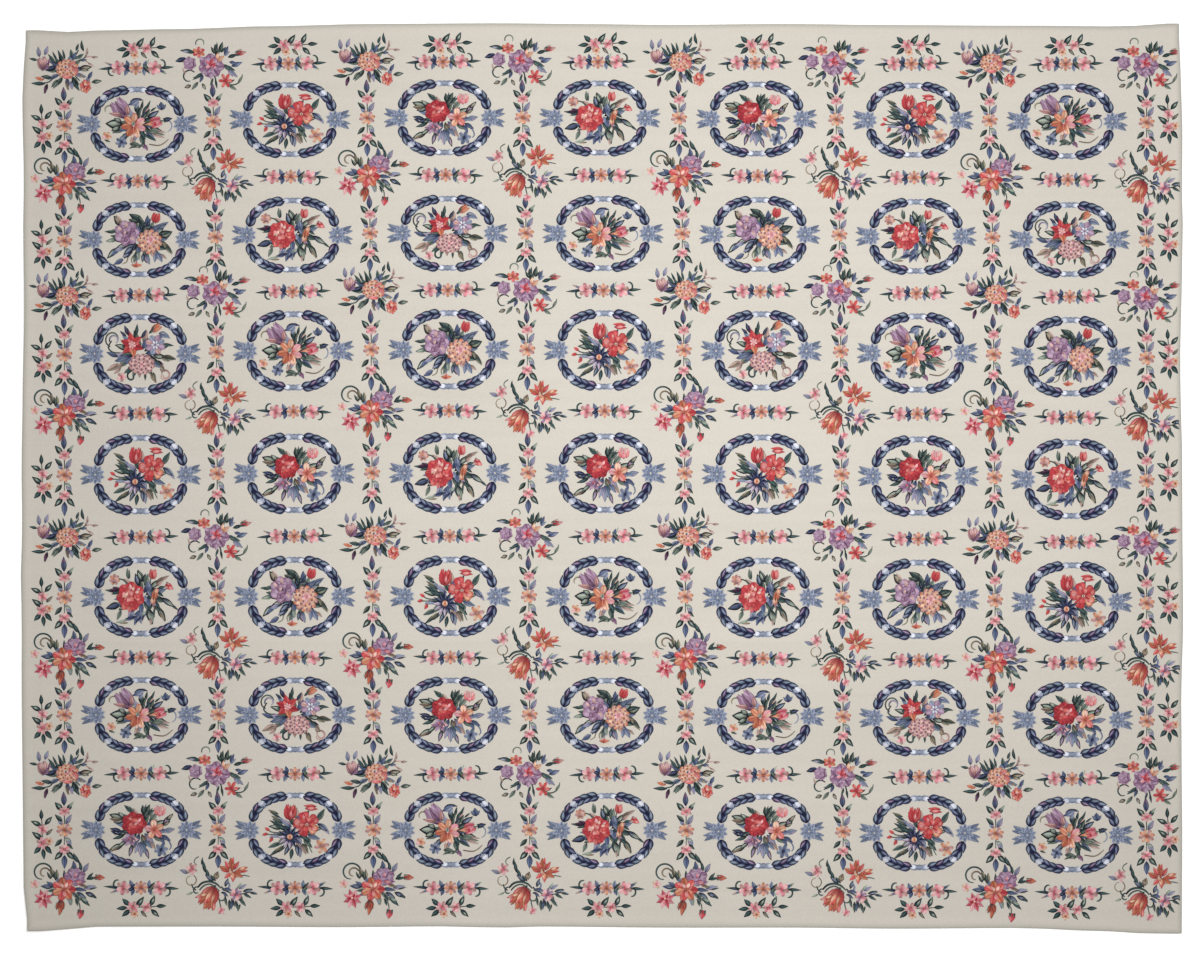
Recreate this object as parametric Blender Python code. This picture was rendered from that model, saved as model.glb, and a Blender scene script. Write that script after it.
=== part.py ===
"""Room-size flat oriental rug: one stitched wool cloth with its edge turned under as a hem.

Metres, +Z up. The origin is under the middle of the rug's box, on the floor. +X runs along the
long side and +Y along the short side. The cloth lies flat, apart from low swells at its edges,
and its outline wanders in from a true rectangle as the real one does.
"""
import bmesh
import bpy
from collections import namedtuple
from math import cos, pi
from mathutils import Vector

# Driving dimensions
RUG_LENGTH = 3.60
RUG_WIDTH = 2.82
HEM_THICKNESS = 0.006
FIELD_THICKNESS = 0.005
HEM_WIDTH = 0.032
HEM_SLOPE = 0.010
RIM_WIDTH = 0.007
RIM_ROUND = 0.0022
CORNER_CUT = 0.0022
COLUMNS = 42
ROWS = 34
EDGE_REACH = 0.30

# How far each edge wanders in from the box. "along" is measured from the middle of that edge.
EdgePoint = namedtuple("EdgePoint", "along inset")
LEFT_EDGE = (
    (-1.410, 0.0240),
    (-1.365, 0.0195),
    (-1.290, 0.0095),
    (-1.100, 0.0070),
    (-0.750, 0.0040),
    (-0.450, 0.0035),
    (-0.315, 0.0000),
    (-0.150, 0.0045),
    (0.030, 0.0025),
    (0.250, 0.0055),
    (0.550, 0.0118),
    (0.780, 0.0075),
    (0.920, 0.0096),
    (1.160, 0.0050),
    (1.330, 0.0095),
    (1.410, 0.0165),
)
RIGHT_EDGE = (
    (-1.410, 0.0045),
    (-1.100, 0.0030),
    (-0.860, 0.0050),
    (-0.690, 0.0074),
    (-0.440, 0.0000),
    (-0.130, 0.0025),
    (0.110, 0.0035),
    (0.280, 0.0095),
    (0.430, 0.0111),
    (0.560, 0.0050),
    (0.800, 0.0012),
    (0.920, 0.0046),
    (1.040, 0.0015),
    (1.170, 0.0056),
    (1.320, 0.0100),
    (1.410, 0.0160),
)
BOTTOM_EDGE = (
    (-1.800, 0.0085),
    (-1.680, 0.0155),
    (-1.550, 0.0225),
    (-1.300, 0.0232),
    (-0.820, 0.0203),
    (-0.500, 0.0229),
    (-0.320, 0.0190),
    (-0.190, 0.0224),
    (0.200, 0.0190),
    (0.560, 0.0200),
    (0.900, 0.0157),
    (1.290, 0.0178),
    (1.540, 0.0087),
    (1.680, 0.0015),
    (1.800, 0.0000),
)
TOP_EDGE = (
    (-1.800, 0.0215),
    (-1.680, 0.0280),
    (-1.550, 0.0232),
    (-1.300, 0.0180),
    (-1.050, 0.0095),
    (-0.700, 0.0020),
    (-0.320, 0.0000),
    (0.000, 0.0034),
    (0.180, 0.0052),
    (0.560, 0.0022),
    (0.920, 0.0056),
    (1.300, 0.0080),
    (1.580, 0.0102),
    (1.700, 0.0080),
    (1.800, 0.0010),
)

# Low swells, where the cloth draws in and lifts off the floor.
Swell = namedtuple("Swell", "x y half_x half_y lift")
SWELLS = (
    (-1.80, 0.56, 0.46, 0.24, 0.0060),
    (-1.80, -0.62, 0.38, 0.20, 0.0035),
    (1.80, 0.42, 0.50, 0.24, 0.0065),
    (1.80, -0.70, 0.40, 0.22, 0.0045),
    (-1.55, 1.41, 0.34, 0.46, 0.0055),
    (-0.02, 1.41, 0.30, 0.34, 0.0030),
    (1.42, 1.41, 0.34, 0.40, 0.0045),
    (-1.36, -1.41, 0.36, 0.42, 0.0050),
    (0.52, -1.41, 0.34, 0.34, 0.0035),
    (-1.80, -1.41, 0.26, 0.24, 0.0080),
    (1.80, 1.41, 0.24, 0.22, 0.0050),
)

# Wool as the field shows it: warm ivory, dull.
WOOL_COLOUR = (0.71, 0.67, 0.59, 1.0)
WOOL_ROUGHNESS = 0.93


def clear_scene():
    """Remove every object, so that the rug is alone."""
    for thing in list(bpy.data.objects):
        bpy.data.objects.remove(thing, do_unlink=True)


def smooth_step(amount):
    """Ease from 0 to 1 with no corner at either end."""
    amount = min(max(amount, 0.0), 1.0)
    return amount * amount * (3.0 - 2.0 * amount)


def read_edge(table, along):
    """Inset of an edge at a place along it, eased between the table's rows."""
    points = [EdgePoint(*row) for row in table]
    if along <= points[0].along:
        return points[0].inset
    for here, following in zip(points, points[1:]):
        if along <= following.along:
            share = smooth_step((along - here.along) / (following.along - here.along))
            return here.inset + share * (following.inset - here.inset)
    return points[-1].inset


def stations(length, cells):
    """Grid lines across one side: close together at the rim and hem, even between."""
    half = length / 2
    near_edge = (0.0, RIM_WIDTH, HEM_WIDTH - HEM_SLOPE, HEM_WIDTH)
    low = [-half + distance for distance in near_edge]
    high = [half - distance for distance in reversed(near_edge)]
    gaps = cells - 2 * (len(near_edge) - 1)
    step = (high[0] - low[-1]) / gaps
    even = [low[-1] + step * index for index in range(1, gaps)]
    return low + even + high


def edge_pull(distance):
    """Share of an edge's inset that the cloth still feels at a distance from that edge."""
    return 1.0 - smooth_step(distance / EDGE_REACH)


def warped(x, y):
    """Plan position of a point of the true rectangle once the edges wander in."""
    half_length = RUG_LENGTH / 2
    half_width = RUG_WIDTH / 2
    shift_x = read_edge(LEFT_EDGE, y) * edge_pull(x + half_length)
    shift_x -= read_edge(RIGHT_EDGE, y) * edge_pull(half_length - x)
    shift_y = read_edge(BOTTOM_EDGE, x) * edge_pull(y + half_width)
    shift_y -= read_edge(TOP_EDGE, x) * edge_pull(half_width - y)
    return x + shift_x, y + shift_y


def bump(distance, half_size):
    """Raised cosine: 1 at the middle, 0 from half_size outwards."""
    if abs(distance) >= half_size:
        return 0.0
    return 0.5 + 0.5 * cos(pi * distance / half_size)


def lift_at(x, y):
    """Height of the underside above the floor."""
    lift = 0.0
    for row in SWELLS:
        swell = Swell(*row)
        height = swell.lift * bump(x - swell.x, swell.half_x)
        lift = max(lift, height * bump(y - swell.y, swell.half_y))
    return lift


def hem_share(x, y):
    """1 on the doubled hem and 0 on the single cloth, with a short slope between."""
    inward = min(RUG_LENGTH / 2 - abs(x), RUG_WIDTH / 2 - abs(y))
    return 1.0 - smooth_step((inward - HEM_WIDTH + HEM_SLOPE) / HEM_SLOPE)


def wool_material():
    """Dull ivory wool for the whole cloth."""
    material = bpy.data.materials.new("ivory_wool")
    material.use_nodes = True
    shader = material.node_tree.nodes["Principled BSDF"]
    shader.inputs["Base Color"].default_value = WOOL_COLOUR
    shader.inputs["Roughness"].default_value = WOOL_ROUGHNESS
    shader.inputs["Metallic"].default_value = 0.0
    material.diffuse_color = WOOL_COLOUR
    return material


def underside_mesh():
    """The cloth's underside as a grid, with the share of full thickness at each point."""
    shell = bmesh.new()
    bmesh.ops.create_grid(shell, x_segments=COLUMNS, y_segments=ROWS, size=0.5)
    x_lines = stations(RUG_LENGTH, COLUMNS)
    y_lines = stations(RUG_WIDTH, ROWS)
    thickness_shares = []
    for point in shell.verts:
        column = round((point.co.x + 0.5) * COLUMNS)
        row = round((point.co.y + 0.5) * ROWS)
        x, y = x_lines[column], y_lines[row]
        thin = FIELD_THICKNESS / HEM_THICKNESS
        thickness_shares.append(thin + (1.0 - thin) * hem_share(x, y))
        plan_x, plan_y = warped(x, y)
        if column in (0, COLUMNS) and row in (0, ROWS):
            plan_x -= CORNER_CUT if column else -CORNER_CUT
            plan_y -= CORNER_CUT if row else -CORNER_CUT
        point.co = Vector((plan_x, plan_y, lift_at(x, y)))
    mesh = bpy.data.meshes.new("rug")
    shell.to_mesh(mesh)
    shell.free()
    return mesh, thickness_shares


def build_rug():
    """The whole cloth: its underside given thickness upwards, and its rim rounded."""
    mesh, thickness_shares = underside_mesh()
    rug = bpy.data.objects.new("rug", mesh)
    bpy.context.scene.collection.objects.link(rug)
    mesh.materials.append(wool_material())
    shares = rug.vertex_groups.new(name="thickness_share")
    for index, share in enumerate(thickness_shares):
        shares.add([index], share, "REPLACE")

    thicken = rug.modifiers.new("cloth_thickness", "SOLIDIFY")
    thicken.thickness = HEM_THICKNESS
    thicken.offset = 1.0
    thicken.vertex_group = shares.name

    soften = rug.modifiers.new("rim_round", "BEVEL")
    soften.width = RIM_ROUND
    soften.segments = 2
    soften.limit_method = "ANGLE"
    soften.angle_limit = pi / 4

    mesh.shade_smooth()
    return rug


clear_scene()
build_rug()
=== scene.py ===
"""Looks of a room-size needlework rug: an ivory wool ground with flower wreaths, posies and sprays.

The ground is one closed sheet of cloth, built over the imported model's outline. Each kind of motif
is one joined piece of small stitched forms (leaves, petals, stems), drawn once round its own
centre in millimetres and then laid wherever the pattern repeats it. Lengths elsewhere are metres.
"""

import logging
from dataclasses import dataclass
from enum import Enum
from math import atan2, cos, copysign, hypot, pi, radians, sin
from typing import NamedTuple

import bmesh
import bpy
import numpy as np
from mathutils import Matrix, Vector
from mathutils.bvhtree import BVHTree

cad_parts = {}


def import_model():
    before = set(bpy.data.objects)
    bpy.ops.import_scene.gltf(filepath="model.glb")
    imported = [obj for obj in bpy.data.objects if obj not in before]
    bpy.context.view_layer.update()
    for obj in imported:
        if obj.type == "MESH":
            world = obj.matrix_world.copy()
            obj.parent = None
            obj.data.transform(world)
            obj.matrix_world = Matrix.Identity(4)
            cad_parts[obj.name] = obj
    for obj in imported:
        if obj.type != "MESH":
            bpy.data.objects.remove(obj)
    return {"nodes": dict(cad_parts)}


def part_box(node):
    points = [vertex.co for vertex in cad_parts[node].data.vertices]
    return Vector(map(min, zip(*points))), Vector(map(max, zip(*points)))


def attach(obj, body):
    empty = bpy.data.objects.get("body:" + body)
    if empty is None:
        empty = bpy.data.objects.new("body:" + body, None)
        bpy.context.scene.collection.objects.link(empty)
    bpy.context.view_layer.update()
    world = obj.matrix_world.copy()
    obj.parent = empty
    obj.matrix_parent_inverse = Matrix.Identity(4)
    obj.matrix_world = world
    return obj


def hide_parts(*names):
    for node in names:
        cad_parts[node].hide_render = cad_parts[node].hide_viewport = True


LOG = logging.getLogger("rug")
MM = 0.001
CAD_NODE = "rug"
BODY = "root"
YARN_LAYER = "yarn"
CANVAS_MAP = "Canvas"
BAKE_MAP = "OFBake"
RIM_LAYER = "rim"

Colour = tuple[float, float, float]
Place = tuple[float, float]


class Yarn(Enum):
    """Wool colours as the eye reads them on the lit rug, 0 to 255."""

    INK = (20, 20, 30)
    BOTTLE = (38, 50, 52)
    PINE = (64, 82, 78)
    SPRUCE = (74, 103, 104)
    SAGE = (118, 131, 119)
    LICHEN = (152, 158, 143)
    CELADON = (178, 190, 178)
    OLIVE = (106, 104, 82)
    STRAW = (170, 161, 133)
    EARTH = (84, 64, 60)
    FAWN = (138, 119, 108)
    TAUPE = (166, 150, 142)
    MIDNIGHT = (32, 35, 66)
    NAVY = (24, 25, 54)
    INDIGO = (44, 50, 88)
    DENIM = (68, 78, 114)
    SLATE = (88, 100, 126)
    STEEL = (116, 127, 149)
    MIST = (150, 158, 177)
    PERIWINKLE = (118, 127, 151)
    HAZE = (166, 172, 190)
    PEARL = (224, 226, 236)
    PLUM = (76, 48, 74)
    MULBERRY = (120, 80, 110)
    MAUVE = (158, 124, 152)
    LILAC = (188, 163, 184)
    ROSEWOOD = (150, 98, 100)
    DUSTY = (184, 136, 136)
    BLUSH = (216, 178, 170)
    SHELL = (232, 202, 194)
    CLARET = (134, 40, 50)
    CRIMSON = (172, 54, 64)
    SCARLET = (196, 70, 74)
    CORAL = (212, 106, 100)
    SALMON = (224, 150, 140)
    CERISE = (200, 92, 112)
    PINK = (218, 138, 150)
    CANDY = (230, 178, 181)
    RUST = (162, 82, 62)
    TANGERINE = (200, 112, 84)
    APRICOT = (212, 148, 118)
    PEACH = (224, 178, 150)
    CREAM = (236, 212, 188)

    def linear(self) -> np.ndarray:
        """The yarn as linear light, the form that materials take."""
        share = np.array(self.value) / 255.0
        return np.where(share > 0.04045, ((share + 0.055) / 1.055) ** 2.4, share / 12.92)


class Tone(Enum):
    """Five yarns of a form: its left side, right side, vein, outline and base."""

    INK = (Yarn.INK, Yarn.BOTTLE, Yarn.INK, Yarn.INK, Yarn.INK)
    NIGHT = (Yarn.MIDNIGHT, Yarn.NAVY, Yarn.MIDNIGHT, Yarn.NAVY, Yarn.NAVY)
    BLACK = (Yarn.BOTTLE, Yarn.PINE, Yarn.SPRUCE, Yarn.INK, Yarn.INK)
    PINE = (Yarn.BOTTLE, Yarn.SAGE, Yarn.PINE, Yarn.INK, Yarn.INK)
    TEAL = (Yarn.SPRUCE, Yarn.SAGE, Yarn.BOTTLE, Yarn.BOTTLE, Yarn.INK)
    OLIVE = (Yarn.OLIVE, Yarn.STRAW, Yarn.PINE, Yarn.EARTH, Yarn.INK)
    SAGE = (Yarn.SAGE, Yarn.LICHEN, Yarn.PINE, Yarn.PINE, Yarn.BOTTLE)
    EDGED_SAGE = (Yarn.SAGE, Yarn.CELADON, Yarn.LICHEN, Yarn.INK, Yarn.INK)
    CELADON = (Yarn.LICHEN, Yarn.CELADON, Yarn.SAGE, Yarn.SAGE, Yarn.PINE)
    BROWN = (Yarn.FAWN, Yarn.STRAW, Yarn.EARTH, Yarn.EARTH, Yarn.EARTH)
    EDGED_BROWN = (Yarn.FAWN, Yarn.LICHEN, Yarn.STRAW, Yarn.INK, Yarn.INK)
    TAUPE = (Yarn.TAUPE, Yarn.BLUSH, Yarn.FAWN, Yarn.FAWN, Yarn.EARTH)
    NAVY = (Yarn.NAVY, Yarn.INDIGO, Yarn.SLATE, Yarn.INK, Yarn.INK)
    LAUREL = (Yarn.INDIGO, Yarn.STEEL, Yarn.MIST, Yarn.DENIM, Yarn.NAVY)
    LAUREL_TEAL = (Yarn.SPRUCE, Yarn.STEEL, Yarn.HAZE, Yarn.SLATE, Yarn.NAVY)
    LAUREL_PLUM = (Yarn.INDIGO, Yarn.MULBERRY, Yarn.LILAC, Yarn.DENIM, Yarn.NAVY)
    EDGED_BLUE = (Yarn.SLATE, Yarn.MIST, Yarn.STEEL, Yarn.INK, Yarn.INK)
    SLATE = (Yarn.SLATE, Yarn.STEEL, Yarn.DENIM, Yarn.INDIGO, Yarn.NAVY)
    MIST = (Yarn.STEEL, Yarn.MIST, Yarn.SLATE, Yarn.SLATE, Yarn.INDIGO)
    PERIWINKLE = (Yarn.PERIWINKLE, Yarn.HAZE, Yarn.SLATE, Yarn.DENIM, Yarn.DENIM)
    KNOT_EDGE = (Yarn.HAZE, Yarn.MIST, Yarn.MIST, Yarn.HAZE, Yarn.STEEL)
    KNOT = (Yarn.PERIWINKLE, Yarn.STEEL, Yarn.SLATE, Yarn.PERIWINKLE, Yarn.PERIWINKLE)
    HAZE = (Yarn.HAZE, Yarn.MIST, Yarn.PERIWINKLE, Yarn.STEEL, Yarn.STEEL)
    PEARL = (Yarn.PEARL, Yarn.PEARL, Yarn.PEARL, Yarn.HAZE, Yarn.MIST)
    TIE = (Yarn.MIST, Yarn.MIST, Yarn.HAZE, Yarn.MIST, Yarn.STEEL)
    DARK_LILAC = (Yarn.LILAC, Yarn.MIST, Yarn.MAUVE, Yarn.INK, Yarn.INK)
    LILAC_LEAF = (Yarn.MIST, Yarn.LILAC, Yarn.STEEL, Yarn.SLATE, Yarn.INDIGO)
    PLUM = (Yarn.PLUM, Yarn.MULBERRY, Yarn.INK, Yarn.INK, Yarn.INK)
    MAUVE = (Yarn.MAUVE, Yarn.LILAC, Yarn.MULBERRY, Yarn.MULBERRY, Yarn.PLUM)
    LILAC = (Yarn.LILAC, Yarn.MAUVE, Yarn.LILAC, Yarn.MAUVE, Yarn.MULBERRY)
    MULBERRY = (Yarn.MULBERRY, Yarn.MAUVE, Yarn.PLUM, Yarn.PLUM, Yarn.PLUM)
    DUSTY = (Yarn.DUSTY, Yarn.BLUSH, Yarn.ROSEWOOD, Yarn.ROSEWOOD, Yarn.EARTH)
    BLUSH = (Yarn.BLUSH, Yarn.SHELL, Yarn.DUSTY, Yarn.DUSTY, Yarn.ROSEWOOD)
    CLARET = (Yarn.CRIMSON, Yarn.SCARLET, Yarn.CLARET, Yarn.CLARET, Yarn.CLARET)
    SCARLET = (Yarn.SCARLET, Yarn.CORAL, Yarn.CRIMSON, Yarn.CRIMSON, Yarn.CLARET)
    CORAL = (Yarn.CORAL, Yarn.SALMON, Yarn.SCARLET, Yarn.CRIMSON, Yarn.CLARET)
    SALMON = (Yarn.SALMON, Yarn.CANDY, Yarn.CORAL, Yarn.SCARLET, Yarn.CRIMSON)
    CERISE = (Yarn.CERISE, Yarn.PINK, Yarn.CRIMSON, Yarn.CRIMSON, Yarn.CLARET)
    PINK = (Yarn.PINK, Yarn.CANDY, Yarn.CERISE, Yarn.ROSEWOOD, Yarn.CRIMSON)
    CANDY = (Yarn.CANDY, Yarn.SHELL, Yarn.PINK, Yarn.PINK, Yarn.CERISE)
    RUST = (Yarn.RUST, Yarn.TANGERINE, Yarn.CLARET, Yarn.EARTH, Yarn.EARTH)
    TANGERINE = (Yarn.TANGERINE, Yarn.APRICOT, Yarn.RUST, Yarn.RUST, Yarn.CLARET)
    APRICOT = (Yarn.APRICOT, Yarn.PEACH, Yarn.TANGERINE, Yarn.RUST, Yarn.RUST)
    PEACH = (Yarn.PEACH, Yarn.CREAM, Yarn.APRICOT, Yarn.TANGERINE, Yarn.RUST)
    CREAM = (Yarn.CREAM, Yarn.SHELL, Yarn.PEACH, Yarn.APRICOT, Yarn.CORAL)
    INK_STAR = (Yarn.NAVY, Yarn.PERIWINKLE, Yarn.INDIGO, Yarn.NAVY, Yarn.INK)
    PALE_STAR = (Yarn.LILAC, Yarn.PEARL, Yarn.MAUVE, Yarn.INDIGO, Yarn.NAVY)
    MUM = (Yarn.DUSTY, Yarn.PEACH, Yarn.PEACH, Yarn.ROSEWOOD, Yarn.APRICOT)
    DUSTY_MUM = (Yarn.DUSTY, Yarn.BLUSH, Yarn.BLUSH, Yarn.ROSEWOOD, Yarn.ROSEWOOD)

    @property
    def inked(self) -> bool:
        """Whether a form in this tone is pale inside a black outline."""
        return self in (Tone.EDGED_SAGE, Tone.EDGED_BROWN, Tone.EDGED_BLUE, Tone.DARK_LILAC)

    def colours(self) -> np.ndarray:
        """The five yarns as rows of linear light."""
        return np.array([yarn.linear() for yarn in self.value])


class Cut(Enum):
    """Outlines that a form can have: its half width at even steps from base to tip."""

    LEAF = (0.10, 0.74, 1.00, 0.86, 0.50, 0.06)
    BLADE = (0.14, 0.78, 1.00, 0.76, 0.36, 0.05)
    PETAL = (0.26, 0.62, 0.90, 1.00, 0.86, 0.40)
    FAN = (0.14, 0.46, 0.76, 0.98, 1.00, 0.62)
    BUD = (0.34, 0.88, 1.00, 0.82, 0.46, 0.09)
    DISC = (0.34, 0.84, 1.00, 1.00, 0.84, 0.34)
    STEM = (0.70, 0.95, 1.00, 1.00, 0.85, 0.45)


class Blank:
    """A flat strip of cloth, cut to an outline, that forms are copied from."""

    NARROW = 2
    made: dict[tuple[Cut, int, int], "Blank"] = {}

    def __init__(self, cut: Cut, rows: int, columns: int) -> None:
        """Adds a grid and draws each of its rows in to the outline.

        Args:
            cut: the outline.
            rows: cells from base to tip.
            columns: cells from side to side.
        """
        bpy.ops.object.select_all(action="DESELECT")
        bpy.ops.mesh.primitive_grid_add(x_subdivisions=rows, y_subdivisions=columns, size=2)
        strip = bpy.context.object
        bpy.ops.object.mode_set(mode="EDIT")
        for row in range(rows + 1):
            along = row / rows
            half_width = float(np.interp(along, np.linspace(0, 1, len(cut.value)), cut.value))
            shell = bmesh.from_edit_mesh(strip.data)
            for point in shell.verts:
                point.select = abs(point.co.x - (2 * along - 1)) < 0.5 / rows
            shell.select_flush_mode()
            bmesh.update_edit_mesh(strip.data)
            bpy.ops.transform.resize(value=(1, half_width, 1), center_override=(0, 0, 0))
        bpy.ops.object.mode_set(mode="OBJECT")
        mesh = strip.data
        flat = np.array([point.co[:2] for point in mesh.vertices])
        self.columns = columns
        self.along = 0.5 + 0.5 * flat[:, 0]
        widest = np.interp(self.along, np.linspace(0, 1, len(cut.value)), cut.value)
        self.across = flat[:, 1]
        self.side = flat[:, 1] / widest
        self.faces = np.array([list(face.vertices) for face in mesh.polygons])
        bpy.data.objects.remove(strip, do_unlink=True)
        bpy.data.meshes.remove(mesh)

    @classmethod
    def of(cls, cut: Cut, rows: int, columns: int) -> "Blank":
        """The blank of that outline and fineness, cut the first time that it is asked for."""
        key = (cut, rows, columns)
        if key not in cls.made:
            cls.made[key] = cls(cut, rows, columns)
        return cls.made[key]

    def dyed(self, tone: Tone) -> np.ndarray:
        """Colour at each point: sides, a vein, an outline, and the base's yarn low down.

        Args:
            tone: the five yarns.

        Returns:
            One row of linear light for each point.
        """
        left, right, vein, outline, base = tone.colours()
        body = np.where((self.side > 0)[:, None], left, right)
        narrow = self.columns == Blank.NARROW
        centre = (vein + left + right) / 3 if narrow else vein
        body = np.where((np.abs(self.side) < 0.1)[:, None], centre, body)
        if not narrow:
            body = np.where((np.abs(self.side) > 0.9)[:, None], outline, body)
        body = np.where((self.along > 0.97)[:, None], outline, body)
        low = np.clip(1.0 - self.along / 0.45, 0.0, 1.0)[:, None]
        return body + (base - body) * low


class Spot(NamedTuple):
    """Where a motif is laid: its centre, its turn in degrees and its stretch each way."""

    x: float
    y: float
    turn: float = 0.0
    wide: float = 1.0
    tall: float = 1.0


def along_arc(
    share: np.ndarray, x: float, y: float, length: float, angle: float, bend: float
) -> tuple[np.ndarray, np.ndarray]:
    """Follows an arc whose middle is at (x, y).

    Args:
        share: how far along the arc each point is, 0 to 1.
        x: the middle's place.
        y: the middle's place.
        length: the arc's length.
        angle: its heading at the middle, in degrees.
        bend: how far it turns from end to end, in degrees.

    Returns:
        The points, and the unit vectors to their left.
    """
    heading = radians(angle) + radians(bend) * (share - 0.5)
    steps = np.linspace(0.0, 1.0, 33)
    turning = radians(angle) + radians(bend) * (steps - 0.5)
    run = np.concatenate([[0.0], np.cumsum((np.cos(turning[1:]) + np.cos(turning[:-1])) / 2)])
    rise = np.concatenate([[0.0], np.cumsum((np.sin(turning[1:]) + np.sin(turning[:-1])) / 2)])
    scale = length / (len(steps) - 1)
    across = np.interp(share, steps, run - run[len(steps) // 2]) * scale
    up = np.interp(share, steps, rise - rise[len(steps) // 2]) * scale
    left = np.stack([-np.sin(heading), np.cos(heading)], axis=1)
    return np.stack([x + across, y + up], axis=1), left


def along_points(share: np.ndarray, points: list[Place]) -> tuple[np.ndarray, np.ndarray]:
    """Follows a smooth curve through points.

    Args:
        share: how far along the curve each point is, 0 to 1.
        points: the places that it goes through.

    Returns:
        The points, and the unit vectors to their left.
    """
    knots = np.array([points[0], *points, points[-1]], dtype=float)
    spans = len(points) - 1
    span = np.minimum((share * spans).astype(int), spans - 1)
    t = (share * spans - span)[:, None]
    before, here, there, after = (knots[span + step] for step in range(4))
    place = 0.5 * (
        2 * here
        + (there - before) * t
        + (2 * before - 5 * here + 4 * there - after) * t**2
        + (3 * here - before - 3 * there + after) * t**3
    )
    heading = 0.5 * (
        (there - before)
        + 2 * (2 * before - 5 * here + 4 * there - after) * t
        + 3 * (3 * here - before - 3 * there + after) * t**2
    )
    heading = heading / np.maximum(np.linalg.norm(heading, axis=1, keepdims=True), 1e-6)
    return place, np.stack([-heading[:, 1], heading[:, 0]], axis=1)


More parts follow.
